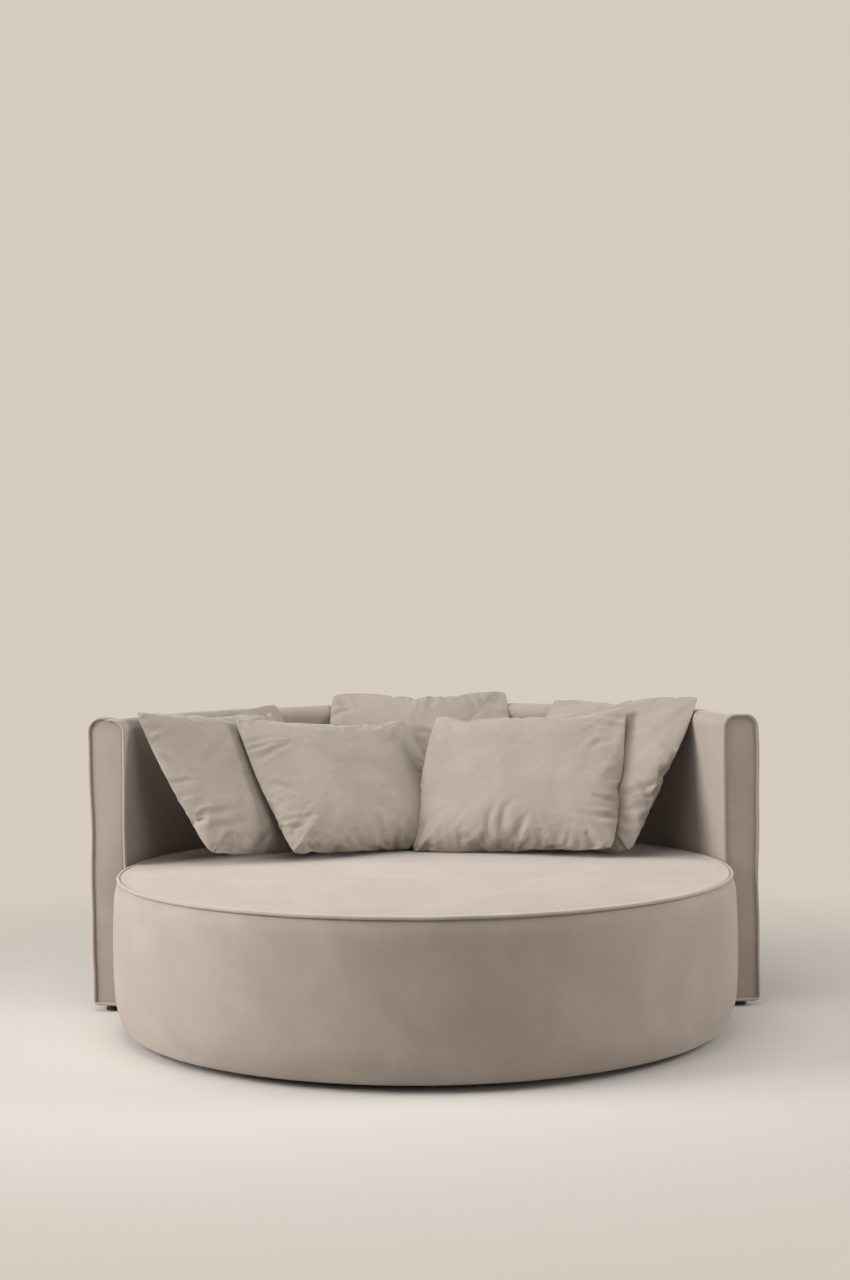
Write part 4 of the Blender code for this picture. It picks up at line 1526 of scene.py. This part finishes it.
@dataclass
class Cushion:
    """One loose cushion, filled between its four tips from two flat panels.

    Args:
        node: the solid that it stands for.
        seed: what fixes its uneven places.
        slack: how much longer than flat its cloth is cut.
        creases: its larger folds.
        shifts: how far each tip is moved from the solid's own.
        stuff: how its cloth behaves.
    """

    node: str
    seed: int
    slack: float = 0.050
    creases: tuple[Crease, ...] = ()
    shifts: tuple[Vector, ...] = (UNMOVED,) * 4
    stuff: Stuff = Stuff()
    cells: int = 84
    first_lift: float = 0.010
    jitter: float = 0.0014
    cut_bulge: float = 0.068
    drawn_in: float = 0.06
    lump_depth: float = 0.0030
    low_fill: float = 0.22
    front_fill: float = 1.25
    pucker_depth: float = 0.0029
    pucker_reach: float = 0.17
    least_reach: float = 0.06
    corner_cut: float = 0.006
    corner_reach: float = 0.036
    evening: int = 9
    fullness: float = 1.08
    lumps: int = 9
    lump_pace: float = 2.6
    seam_share: float = 0.06
    gathers: int = 5
    gather_pace: tuple[float, float] = (28, 62)
    gather_waver: float = 0.25
    gather_shift: float = 0.03
    gather_sum: float = 2.2
    gather_start: float = 0.05
    blurs: tuple[int, ...] = (6, 4, 2)
    give: float = 0.6
    still: float = 1e-9
    last_pushes: int = 3

    def place(self) -> Matrix:
        """The cushion's own frame: X to its right, Y up along it and Z out of its front.

        Returns:
            The frame's place in space.
        """
        points = corners_of(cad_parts[self.node].data)
        middle = points.mean(axis=0)
        axes = np.linalg.svd(points - middle, full_matrices=False)[2]
        front = Vector(axes[2])
        if front.y > 0:
            front.negate()
        up = (Vector((0, 0, 1)) - front * front.z).normalized()
        turned = Matrix((up.cross(front), up, front)).transposed().to_4x4()
        return Matrix.Translation(middle) @ turned

    def solid(self, place: Matrix) -> np.ndarray:
        """The CAD solid's points in the cushion's own frame.

        Args:
            place: of that frame in the scene.

        Returns:
            The points.
        """
        inverse = place.inverted()
        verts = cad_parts[self.node].data.vertices
        return np.array([inverse @ vert.co for vert in verts], float)

    def tips(self, solid: np.ndarray) -> np.ndarray:
        """The four tips: foot left, foot right, top left and top right.

        Args:
            solid: the solid's points in that frame.

        Returns:
            The tips, one a row.
        """
        signs = ((-1, -1), (1, -1), (-1, 1), (1, 1))
        found = [solid[np.argmax(solid[:, 0] * right + solid[:, 1] * up)] for right, up in signs]
        return np.array(found) + np.array([tuple(move) for move in self.shifts])

    def flat(self, panels: Panels, tips: np.ndarray) -> np.ndarray:
        """The panels as they are cut, stretched between the tips.

        Args:
            panels: the net of the points.
            tips: the four tips.

        Returns:
            The points, one a row.
        """
        u, v = panels.shares.T
        left, right, low, high = (1 - u) / 2, (1 + u) / 2, (1 - v) / 2, (1 + v) / 2
        weights = np.stack([left * low, right * low, left * high, right * high], axis=1)
        return weights @ tips

    def blown(self, panels: Panels, flat: np.ndarray) -> np.ndarray:
        """The panels filled by a cloth simulation that holds the four tips.

        Args:
            panels: the net of the points.
            flat: the points of the flat panels.

        Returns:
            The points, one a row.
        """
        rim = panels.rim()
        start = panels.bowed(flat, self.cut_bulge)
        noise = np.random.default_rng(self.seed).normal(0, 1, flat.shape)
        uneven = panels.blurred(noise, self.evening)
        start += self.jitter * uneven / uneven.std() * np.clip(4 * rim, 0, 1)[:, None]
        start[:, 2] += panels.side * self.first_lift * rim
        mesh = bpy.data.meshes.new(self.node + "_blank")
        mesh.from_pydata(start.tolist(), [], panels.quads.tolist())
        obj = linked(self.node + "_blank", mesh)
        group = obj.vertex_groups.new(name="tips")
        held = np.flatnonzero((np.abs(panels.shares) == 1).all(axis=1))
        group.add([int(number) for number in held], 1.0, "REPLACE")
        self.stuff.hang(obj, group.name, self.slack)
        scene = bpy.context.scene
        scene.gravity = (0, -self.stuff.sag, 0)
        for step in range(1, self.stuff.frames + 1):
            scene.frame_set(step)
        points = corners_of(obj.evaluated_get(bpy.context.evaluated_depsgraph_get()).data)
        bpy.data.objects.remove(obj, do_unlink=True)
        scene.frame_set(1)
        return points

    def dressed(self, panels: Panels, points: np.ndarray, crown: float) -> np.ndarray:
        """The shape brought to its crown, with its lumps, gathers, creases and corners.

        Args:
            panels: the net of its points.
            points: the points, in the cushion's own frame.
            crown: how far each side stands off the middle.

        Returns:
            The points after that.
        """
        u, v = panels.shares.T
        middle = points[:, 2].mean()
        high = np.abs(points[:, 2] - middle).max()
        plump = min(1.0, self.fullness * crown / high) * (1 - self.low_fill * v)
        plump *= np.where(panels.side > 0, self.front_fill, 1.0)
        points[:, 2] = middle + (points[:, 2] - middle) * plump
        draw = np.random.default_rng(self.seed)
        lumps = np.zeros(len(points))
        for _ in range(self.lumps):
            way, phase = draw.normal(0, self.lump_pace, 2), draw.uniform(0, 2 * pi, 2)
            lumps += np.cos(way[0] * u + phase[0]) * np.cos(way[1] * v + phase[1]) / 3
        rim = panels.rim()
        points[:, 2] += panels.side * self.lump_depth * lumps * rim**0.5
        points[:, 2] += panels.side * self.puckers(panels, draw)
        front = panels.side > 0
        for crease in self.creases:
            sunk = crease.press(panels.shares) * np.clip(rim / self.seam_share, 0, 1) ** 0.5
            points[:, 2] -= np.where(front, sunk, 0.0)
        return points + self.rounding(panels, points)

    def puckers(self, panels: Panels, draw: np.random.Generator) -> np.ndarray:
        """Short uneven gathers that run in from the seams.

        Args:
            panels: the net of the points.
            draw: where the uneven numbers come from.

        Returns:
            How far each point is raised.
        """
        u, v = panels.shares.T
        total = np.zeros(len(u))
        for along, off in ((u, 1 - v), (u, 1 + v), (v, 1 - u), (v, 1 + u)):
            bent = along + self.gather_waver * off * np.sin(5 * along + draw.uniform(0, 6))
            bent = bent + self.gather_shift * panels.side
            counts = draw.uniform(*self.gather_pace, self.gathers)
            phases = draw.uniform(0, 2 * pi, self.gathers)
            waves = sum(np.cos(count * bent + phase) for count, phase in zip(counts, phases))
            waves = waves / self.gather_sum
            slow = np.cos(draw.uniform(4, 7) * along + draw.uniform(0, 6))
            slow = slow + np.cos(draw.uniform(8, 12) * along)
            reach = self.pucker_reach * (1 + 0.5 * slow)
            fade = np.exp(-((off / np.clip(reach, self.least_reach, 1)) ** 2))
            fade = fade * np.clip(off / self.gather_start, 0, 1)
            total += fade * waves * np.clip(0.45 + 0.45 * slow, 0.08, 1)
        return self.pucker_depth * total

    def rounding(self, panels: Panels, points: np.ndarray) -> np.ndarray:
        """The shifts that draw the four corners in to soft ones.

        Args:
            panels: the net of the points.
            points: the points.

        Returns:
            The shift of each point.
        """
        shift = np.zeros_like(points)
        middle = points.mean(axis=0)
        for corner in ((-1, -1), (-1, 1), (1, -1), (1, 1)):
            tip = points[np.argmin(np.linalg.norm(panels.shares - corner, axis=1))]
            far = np.linalg.norm(points - tip, axis=1)
            inward = (middle - tip) / np.linalg.norm(middle - tip)
            near = np.clip(1 - far / self.corner_reach, 0, 1)[:, None] ** 2
            shift += self.corner_cut * near * inward
        return shift

    def cleared(self, panels: Panels, points: np.ndarray, room: Room) -> np.ndarray:
        """The shape pressed in where it meets the seat, the back and other cushions.

        Args:
            panels: the net of the points.
            points: the points in space.
            room: what they keep clear of.

        Returns:
            The points after that.
        """
        for rounds in self.blurs:
            shift = room.pushes(points)
            if not shift.any():
                return points
            spread = panels.blurred(shift, rounds)
            points = points + np.where(np.abs(shift) > np.abs(spread), shift, spread)
            points = points + self.give * spread[panels.twin] * (np.abs(shift) < self.still)
        for _ in range(self.last_pushes):
            points = points + room.pushes(points)
        return points

    def build(self, room: Room) -> None:
        """Makes the cushion and adds it to the room.

        Args:
            room: what it keeps clear of, and is added to.
        """
        place = self.place()
        solid = self.solid(place)
        crown = float(solid[:, 2].max() - solid[:, 2].min()) / 2
        panels = Panels.of(self.cells)
        flat = self.flat(panels, self.tips(solid))
        points = self.blown(panels, flat)
        points = self.dressed(panels, points, crown)
        world = np.array(place.to_3x3()) @ points.T
        points = self.cleared(panels, world.T + np.array(place.translation), room)
        mesh = bpy.data.meshes.new(self.node)
        mesh.from_pydata(points.tolist(), [], panels.quads.tolist())
        mesh.shade_smooth()
        obj = MAKER.piece(self.node + "_cover", mesh, SHADED_CUSHION_VELVET)
        smoother = obj.modifiers.new("Smooth", "SUBSURF")
        smoother.levels = smoother.render_levels = 1
        obj = MAKER.baked(obj)
        room.add(obj, Body.CLOSED)
        MAKER.settle(obj, self.node, [self.node])


@dataclass(frozen=True)
class Extent:
    """How far a solid reaches round the drum's axis."""

    inner: float
    outer: float
    low: float
    high: float
    first: float
    last: float

    @classmethod
    def of(cls, node: str, centre: Vector) -> "Extent":
        """Reads it from a solid's points.

        Args:
            node: the solid.
            centre: the axis's foot.

        Returns:
            Its reach.
        """
        x, y, z = (corners_of(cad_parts[node].data) - np.array(centre)).T
        spans = (np.hypot(x, y), z, np.arctan2(y, x))
        return cls(*(float(end) for span in spans for end in (span.min(), span.max())))


@dataclass
class Padding:
    """Foam and wadding inside the covers, turned or swept round the drum's axis."""

    seat: DrumSeat
    back: CurvedBack
    steps: int = 240
    spacing: float = 0.012
    wadding_step: float = 0.024
    slim: float = 0.002
    side_slim: float = 0.003
    top_slim: float = 0.001
    seam_slim: float = 0.004
    foot_slim: float = 0.006
    foot_turn: float = 0.010
    ledge_width: float = 0.009
    turn_steps: int = 9
    crown_steps: int = 40

    def swept(
        self,
        node: str,
        outline: Sequence[tuple[float, float]],
        finish: Finish,
        slot: str,
        ends: tuple[float, float] | None = None,
    ) -> None:
        """A pad of one section, as a ring or as an arc between two angles.

        Args:
            node: the solid that it stands for.
            outline: its (radius, height) section, anticlockwise when it is closed.
            finish: what it is made of.
            slot: not used.
            ends: the arc's two angles, or none for a whole ring.
        """
        corners = np.array(outline, float)
        walked = []
        for start, end in zip(corners, np.roll(corners, -1, axis=0)):
            count = max(1, round(float(np.linalg.norm(end - start)) / self.spacing))
            walked.append(start + (end - start) * (np.arange(count) / count)[:, None])
        path = np.vstack([*walked, corners[:1]])
        if ends:
            angle = np.linspace(*ends, self.steps)
        else:
            angle = whole_turn(self.steps)
        points = self.back.spot(path[:, :1], angle[None, :], path[:, 1:])
        mesh = MAKER.mesh(node, *MAKER.lattice(points, ring=not ends))
        if ends:
            self.close_ends(mesh)
        pad = MAKER.settle(MAKER.piece(node + "_pad", mesh, finish), ROOT, [node])

    def close_ends(self, mesh: bpy.types.Mesh) -> None:
        """Fills an arc's two open ends.

        Args:
            mesh: the arc's mesh.
        """
        work = bmesh.new()
        work.from_mesh(mesh)
        bmesh.ops.holes_fill(work, edges=[edge for edge in work.edges if edge.is_boundary])
        bmesh.ops.recalc_face_normals(work, faces=work.faces)
        work.to_mesh(mesh)
        work.free()

    def build(self) -> None:
        """Makes the four pads."""
        self.seat_foam()
        self.seat_wall()
        slab = Extent.of("back_inner_foam", self.seat.centre)
        self.back_foam(slab)
        self.back_fleece(slab.high)

    def seat_foam(self) -> None:
        """The crowned disc under the seat's top."""
        foam = Extent.of("seat_foam", self.seat.centre)
        drop = COVER + FIT
        ring = self.seat.ring - CORD_RADIUS - drop
        radii = ring * np.linspace(0, 1, self.crown_steps)
        crown = [(radius, self.seat.top_height(radius) - drop - self.top_slim) for radius in radii]
        side = foam.outer - self.side_slim
        seam = self.seat.seam_height - CORD_RADIUS - drop
        wall = [
            (ring, seam - self.seam_slim),
            (side, foam.low + 0.6 * (seam - foam.low)),
            (side, foam.low),
        ]
        self.swept("seat_foam", [*crown, *wall, (0.0, foam.low)], FOAM, "foam")

    def seat_wall(self) -> None:
        """The pad round the drum's wall."""
        pad = Extent.of("seat_wall_padding", self.seat.centre)
        belly = pad.outer - self.side_slim
        low_radius = self.seat.ring - (COVER + FIT) - self.foot_slim
        outer = [
            (belly, pad.high),
            (belly, pad.low + 0.55 * (pad.high - pad.low)),
            (low_radius, pad.low + 0.10 * (pad.high - pad.low)),
            (low_radius - self.foot_turn, pad.low),
        ]
        inner = [(pad.inner, pad.low), (pad.inner, pad.high)]
        self.swept("seat_wall_padding", [*outer, *inner], WADDING, "wadding")

    def back_foam(self, slab: Extent) -> None:
        """The foam on the back's inner side.

        Args:
            slab: the solid's reach.
        """
        edge = self.back.foot_edge
        inside = slab.inner + self.slim
        section = [
            (inside, slab.low + edge),
            (inside + edge, slab.low),
            (slab.outer, slab.low),
            (slab.outer, slab.high),
            (inside, slab.high),
        ]
        self.swept("back_inner_foam", section, FOAM, "foam", (slab.first, slab.last))

    def back_fleece(self, foam_top: float) -> None:
        """The wadding over the back's top and down its outside.

        Args:
            foam_top: the height of the foam beside it.
        """
        fleece = Extent.of("back_wadding", self.seat.centre)
        edge = self.back.foot_edge
        shoulder = self.back.edge - (COVER + FIT)
        turn = np.linspace(0, pi / 2, self.turn_steps)
        out_edge, in_edge = fleece.outer - shoulder - self.slim, fleece.inner + shoulder + self.slim
        lift = fleece.high - shoulder - self.slim
        rise, reach = shoulder * np.sin(turn), shoulder * np.cos(turn)
        over_outer = [(out_edge + c, lift + s) for c, s in zip(reach, rise)]
        over_inner = [(in_edge - s, lift + c) for c, s in zip(reach, rise)]
        inner_face = fleece.outer - self.wadding_step + self.ledge_width
        ledge = foam_top + 2 * FIT
        section = [
            (inner_face, fleece.low),
            (fleece.outer - self.slim - edge, fleece.low),
            (fleece.outer - self.slim, fleece.low + edge),
            *over_outer,
            *over_inner,
            (in_edge - shoulder, ledge),
            (inner_face, ledge),
        ]
        self.swept("back_wadding", section, WADDING, "wadding", (fleece.first, fleece.last))


class StapleTree(Tree):
    """Staples set about square across a line, at an even pitch."""

    skew: float = 0.25

    def __init__(self, finish: Finish) -> None:
        """Builds the tree.

        Args:
            finish: what its pieces are made of.
        """
        sizes = {"Pitch": 0.05, "Crown": 0.010, "Wire": 0.0006, "Turn Seed": 5}
        super().__init__("stapled_edge", sizes)
        graph, given = self.graph, self.given
        line = graph.add("GeometryNodeMeshToCurve", {0: given["Geometry"]}).outputs[0]
        sockets = {"Curve": line, "Length": given["Pitch"]}
        walked = graph.add("GeometryNodeCurveToPoints", sockets, mode="LENGTH")
        sockets = {0: given["Crown"], 1: given["Wire"], 2: given["Wire"]}
        size = graph.add("ShaderNodeCombineXYZ", sockets)
        wire = graph.add("GeometryNodeMeshCube", {"Size": size.outputs[0]})
        sockets = {2: -self.skew, 3: self.skew, "Seed": given["Turn Seed"]}
        skew = graph.add("FunctionNodeRandomValue", sockets, data_type="FLOAT")
        askew = graph.add("ShaderNodeCombineXYZ", {2: skew.outputs[1]})
        turned = graph.add(
            "FunctionNodeRotateRotation",
            {"Rotation": walked.outputs["Rotation"], "Rotate By": askew.outputs[0]},
            rotation_space="GLOBAL",
        )
        placed = graph.add(
            "GeometryNodeInstanceOnPoints",
            {
                "Points": walked.outputs[0],
                "Instance": wire.outputs[0],
                "Rotation": turned.outputs[0],
            },
        )
        self.close(placed.outputs[0], finish)


class ScrewTree(Tree):
    """Domed screw heads, one at each point."""

    rings: int = 12

    def __init__(self, finish: Finish) -> None:
        """Builds the tree.

        Args:
            finish: what its pieces are made of.
        """
        super().__init__("screw_heads", {"Head Radius": 0.0058, "Flatness": 0.42, "Sides": 28})
        graph, given = self.graph, self.given
        sockets = {"Segments": given["Sides"], "Rings": self.rings, "Radius": 1.0}
        ball = graph.add("GeometryNodeMeshUVSphere", sockets)
        radius = given["Head Radius"]
        height = graph.math("MULTIPLY", radius, given["Flatness"])
        size = graph.add("ShaderNodeCombineXYZ", {0: radius, 1: radius, 2: height})
        placed = graph.add(
            "GeometryNodeInstanceOnPoints",
            {"Points": given["Geometry"], "Instance": ball.outputs[0], "Scale": size.outputs[0]},
        )
        self.close(placed.outputs[0], finish)


@dataclass
class Underside:
    """Dust cloths, their staples, and the screws of the joining plates."""

    seat: DrumSeat
    back: CurvedBack
    rings: int = 26
    steps: int = 200
    sag: float = 0.0006
    staple_inset: float = 0.009
    staple_pitch: float = 0.055
    staple_drop: float = 0.0007
    strip_rows: int = 8
    spared: int = 4
    plate_reach: float = 0.085
    hole_pitch: float = 0.040
    half_plate: float = 0.020

    def cloth(self, name: str, points: np.ndarray, ring: bool, node: str) -> bpy.types.Object:
        """One layer of dust cloth, its outer face down.

        Args:
            name: its name.
            points: rows by columns by 3.
            ring: whether the last column joins the first.
            node: the solid that it stands for.

        Returns:
            The cloth.
        """
        corners, quads = MAKER.lattice(points, ring)
        mesh = MAKER.mesh(name, corners, quads)
        if sum(face.normal.z for face in mesh.polygons) > 0:
            mesh.flip_normals()
        return MAKER.settle(MAKER.piece(name, mesh, DUST_CLOTH), ROOT, [node])

    def build(self) -> None:
        """Makes both cloths, the staples and the screws."""
        centre = self.seat.centre
        disc = Extent.of("seat_dust_cover", centre)
        strip = Extent.of("back_dust_strip", centre)
        angle = whole_turn(self.steps)
        radius = np.linspace(0, disc.outer, self.rings)[:, None]
        middle = (disc.low + disc.high) / 2
        slack = self.sag * ripples(angle, 71, (9, 40)) * eased(radius, 0.3, disc.outer)
        points = self.back.spot(radius, angle[None, :], middle + slack)
        points[0] = np.array(centre) + (0, 0, middle)
        under = self.cloth("seat_dust_cloth", points, True, "seat_dust_cover")
        arc = np.linspace(strip.first, strip.last, self.steps)
        across = np.linspace(strip.inner, strip.outer, self.strip_rows)[:, None]
        slack = 0.5 * self.sag * ripples(arc, 73, (9, 40))
        points = self.back.spot(across, arc[None, :], middle + slack)
        under = self.cloth("back_dust_cloth", points, False, "back_dust_strip")
        low = disc.low - self.staple_drop
        rim = self.back.spot(disc.outer - self.staple_inset, angle, low)
        self.staples("drum_staples", [rim], True)
        stapled = arc[self.spared : -self.spared]
        edges = (strip.inner + self.staple_inset, strip.outer - self.staple_inset)
        sides = [self.back.spot(edge, stapled, low) for edge in edges]
        self.staples("back_staples", sides, False)
        self.screws()

    def staples(self, name: str, walks: Sequence[np.ndarray], closed: bool) -> None:
        """Staples along lines.

        Args:
            name: their name.
            walks: the points of each line, one a row.
            closed: whether each line ends where it starts.
        """
        line = MAKER.lines(name, walks, closed)
        made = StapleTree(STEEL).run(line, {"Pitch": self.staple_pitch})
        MAKER.settle(made, ROOT)

    def screws(self) -> None:
        """A screw head in each hole of the two plates."""
        points = []
        for node in ("joining_plate_left", "joining_plate_right"):
            low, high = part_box(node)
            middle = (low + high) / 2
            outward_way = (middle - self.seat.centre).xy.normalized().to_3d()
            near = self.plate_reach - self.half_plate
            for offset in (-near, -near + self.hole_pitch, near - self.hole_pitch, near):
                spot = middle + outward_way * offset
                points.append((spot.x, spot.y, low.z))
        mesh = bpy.data.meshes.new("plate_screws")
        mesh.from_pydata(points, [], [])
        heads = ScrewTree(STEEL).run(linked("plate_screws", mesh), {})
        MAKER.settle(heads, ROOT)


class CarriedOver:
    """The solids that stay as they are, each in its own finish."""

    finishes: tuple[tuple[str, Finish], ...] = (
        ("seat_base_board", PLYWOOD),
        ("seat_top_ring", PLYWOOD),
        ("arm_board", PLYWOOD),
        ("seat_wall_skin", BENT_PLY),
        ("back_inner_skin", BENT_PLY),
        ("back_outer_skin", BENT_PLY),
        ("seat_post", PINE),
        ("seat_bearer", PINE),
        ("back_bottom_rail", PINE),
        ("back_top_rail", PINE),
        ("back_upright", PINE),
        ("webbing", ELASTIC),
        ("seat_glide", BLACK_PLASTIC),
        ("back_glide", BLACK_PLASTIC),
        ("joining_plate", STEEL),
    )

    def dress(self) -> None:
        """Gives each its finish."""
        for name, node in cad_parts.items():
            for start, finish in self.finishes:
                if name.startswith(start):
                    node.data.materials.clear()
                    node.data.materials.append(finish.material())
                    LOG.info("%s: %s", name, finish.name)


@dataclass(frozen=True)
class Lamp:
    """A square area lamp that looks at a point.

    Args:
        name: the lamp's name.
        spot: where it hangs.
        aim: the point it looks at.
        size: its side.
        power: in watts.
        spread: how wide it shines, in degrees.
        tint: its colour.
    """

    name: str
    spot: tuple[float, float, float]
    aim: tuple[float, float, float]
    size: float
    power: float
    spread: float = 90
    tint: Colour = (1.0, 0.995, 0.985)

    def build(self) -> None:
        """Hangs it."""
        light = bpy.data.lights.new(self.name, "AREA")
        light.size = self.size
        light.energy = self.power
        light.color = self.tint
        light.spread = radians(self.spread)
        obj = linked(self.name, light)
        obj.location = self.spot
        way = Vector(self.aim) - Vector(self.spot)
        obj.rotation_euler = way.to_track_quat("-Z", "Y").to_euler()


@dataclass
class Studio:
    """The pale floor that the sofa stands on, its backdrop, its lamps and the camera."""

    lamps: tuple[Lamp, ...] = (
        Lamp("key", (-4.4, -1.1, 2.3), (0, -0.2, 0.5), 3.0, 90),
        Lamp("overhead", (-0.5, -0.9, 4.5), (0, -0.2, 0), 3.0, 98, 180),
        Lamp("fill", (4.4, -0.2, 2.7), (0, -0.2, 0.5), 2.2, 36),
        Lamp("front", (2.8, -4.4, 1.8), (0, -0.2, 0.5), 1.8, 11),
    )

    floor: Colour = (0.58, 0.545, 0.508)
    floor_roughness: float = 0.9
    floor_specular: float = 0.1
    wall: Colour = (0.668, 0.605, 0.522)
    daylight: Colour = (0.92, 0.90, 0.87)
    faint: float = 0.16
    fade: tuple[float, float] = (0.9, 2.9)
    floor_radius: float = 9.0
    floor_sides: int = 72
    floor_rings: int = 20
    lens: float = 55.396
    eye: Vector = Vector((0.0059, -5.496, 1.1516))
    tilt: float = radians(1.03)
    roll: float = -0.0093
    sensor: float = 36.0

    def ground(self) -> None:
        """The floor, a wide disc that fades into the backdrop's colour away from the sofa."""
        radius = np.linspace(0, self.floor_radius, self.floor_rings)[:, None]
        points = around(radius, whole_turn(self.floor_sides), 0.0, Vector())
        mesh = MAKER.mesh("floor", *MAKER.lattice(points, ring=True))
        material = bpy.data.materials.new("Floor")
        material.use_nodes = True
        graph = Graph(material.node_tree)
        shader = material.node_tree.nodes["Principled BSDF"]
        shader.inputs["Base Color"].default_value = opaque(self.floor)
        shader.inputs["Roughness"].default_value = self.floor_roughness
        shader.inputs["Specular IOR Level"].default_value = self.floor_specular
        length = graph.add("ShaderNodeVectorMath", {0: graph.place()}, operation="LENGTH")
        seen = graph.add("ShaderNodeLightPath").outputs["Is Camera Ray"]
        fade = graph.math("MULTIPLY", graph.spread(length.outputs["Value"], *self.fade), seen)
        glow = graph.add("ShaderNodeEmission", {"Color": opaque(self.wall)}).outputs[0]
        mixed = graph.add("ShaderNodeMixShader", {0: fade, 1: shader.outputs[0], 2: glow})
        out = material.node_tree.nodes["Material Output"]
        graph.feed(out.inputs["Surface"], mixed.outputs[0])
        mesh.materials.append(material)
        obj = linked("floor", mesh)

    def surroundings(self) -> None:
        """The world: faint light all round, and a pale backdrop for the camera and for gloss."""
        world = bpy.data.worlds.new("Studio")
        world.use_nodes = True
        nodes = world.node_tree.nodes
        graph = Graph(world.node_tree)
        faint = nodes["Background"]
        faint.inputs["Color"].default_value = opaque(self.daylight)
        faint.inputs["Strength"].default_value = self.faint
        path = graph.add("ShaderNodeLightPath").outputs
        seen = graph.math("MAXIMUM", path["Is Camera Ray"], path["Is Glossy Ray"])
        backdrop = graph.add("ShaderNodeBackground", {"Color": opaque(self.wall)}).outputs[0]
        mixed = graph.add("ShaderNodeMixShader", {0: seen, 1: faint.outputs[0], 2: backdrop})
        graph.feed(nodes["World Output"].inputs["Surface"], mixed.outputs[0])
        bpy.context.scene.world = world

    def camera(self) -> None:
        """The camera, where the photo was taken from."""
        camera = bpy.data.cameras.new("camera")
        camera.sensor_fit = "VERTICAL"
        camera.sensor_height = camera.sensor_width = self.sensor
        camera.lens = self.lens
        obj = linked("camera", camera)
        turned = Matrix.Rotation(pi / 2 - self.tilt, 4, "X") @ Matrix.Rotation(self.roll, 4, "Z")
        obj.matrix_world = Matrix.Translation(self.eye) @ turned
        bpy.context.scene.camera = obj

    def build(self) -> None:
        """Places everything."""
        self.ground()
        self.surroundings()
        for lamp in self.lamps:
            lamp.build()
        self.camera()
        bpy.context.scene.view_settings.view_transform = "Standard"


class Sofa:
    """The whole sofa."""

    cushions: tuple[Cushion, ...] = (
        Cushion(
            "cushion_back_middle",
            3,
            cut_bulge=0.10,
            creases=(Crease((-0.07, 0.4), (0.23, 0.3)), Crease((-0.93, 0.9), (-0.77, 0.7))),
        ),
        Cushion(
            "cushion_back_right",
            5,
            cut_bulge=0.09,
            creases=(
                Crease((1.0, 0.33), (0.77, 0.33)),
                Crease((0.97, -0.1), (0.6, -0.37)),
                Crease((1.0, -0.37), (0.7, -0.53)),
                Crease((1.0, -0.67), (0.73, -0.6)),
            ),
        ),
        Cushion(
            "cushion_back_left",
            7,
            shifts=(
                LIFTED_FOOT,
                LIFTED_FOOT,
                Vector((0.01, -0.035, 0)),
                Vector((0.012, -0.006, 0)),
            ),
        ),
        Cushion(
            "cushion_left",
            11,
            slack=0.055,
            cut_bulge=0.09,
            shifts=(UNMOVED, UNMOVED, Vector((-0.004, 0.014, 0)), Vector((0, -0.006, 0))),
            creases=(
                Crease((-1.0, 0.77), (-0.87, 0.67)),
                Crease((-0.93, 0.37), (-0.83, 0.07)),
                Crease((-0.93, -0.47), (-0.33, -0.37), 0.005, bend=-0.09),
                Crease((-0.88, -0.66), (-0.40, -0.60), 0.004, bend=-0.04),
                Crease((-0.1, 0.5), (-0.6, 0.13), 0.003, 0.06),
            ),
        ),
        Cushion(
            "cushion_front_left",
            13,
            cut_bulge=0.078,
            creases=(
                Crease((-0.97, 0.3), (-0.5, 0.5)),
                Crease((-0.93, 0.03), (-0.67, -0.27)),
                Crease((-0.97, -0.77), (-0.63, -0.53)),
                Crease((0.0, -0.93), (0.03, -0.6)),
                Crease((0.17, -0.93), (0.27, -0.57)),
                Crease((0.8, 0.77), (0.43, 0.4)),
            ),
        ),
        Cushion(
            "cushion_front_right",
            17,
            cut_bulge=0.072,
            creases=(
                Crease((-0.17, -0.9), (-0.13, -0.43)),
                Crease((-0.03, -0.93), (0.0, -0.37)),
                Crease((0.1, -0.9), (0.17, -0.57)),
                Crease((0.97, -0.37), (0.73, -0.33)),
                Crease((1.0, -0.53), (0.8, -0.57)),
                Crease((0.63, 0.27), (0.87, 0.5)),
                Crease((0.87, -0.93), (0.67, -0.67)),
                Crease((-0.93, -0.77), (-0.77, -0.53)),
            ),
        ),
    )

    def build(self) -> None:
        """Makes every piece, from the covers to the cushions on them."""
        piping = Piping()
        seat = DrumSeat.from_solids()
        back = CurvedBack.from_solids()
        seat.build(piping)
        back.build(piping)
        Padding(seat, back).build()
        Underside(seat, back).build()
        CarriedOver().dress()
        room = Room()
        for name in ("drum_cover", "back_cover_cloth"):
            room.add(bpy.data.objects[name], Body.OPEN)
        for cushion in self.cushions:
            cushion.build(room)


def main() -> None:
    """Builds the sofa and the studio round it."""
    logging.basicConfig(level=logging.INFO, format="%(name)s %(message)s")
    Sofa().build()
    Studio().build()


if __name__ == "__main__":
    main()
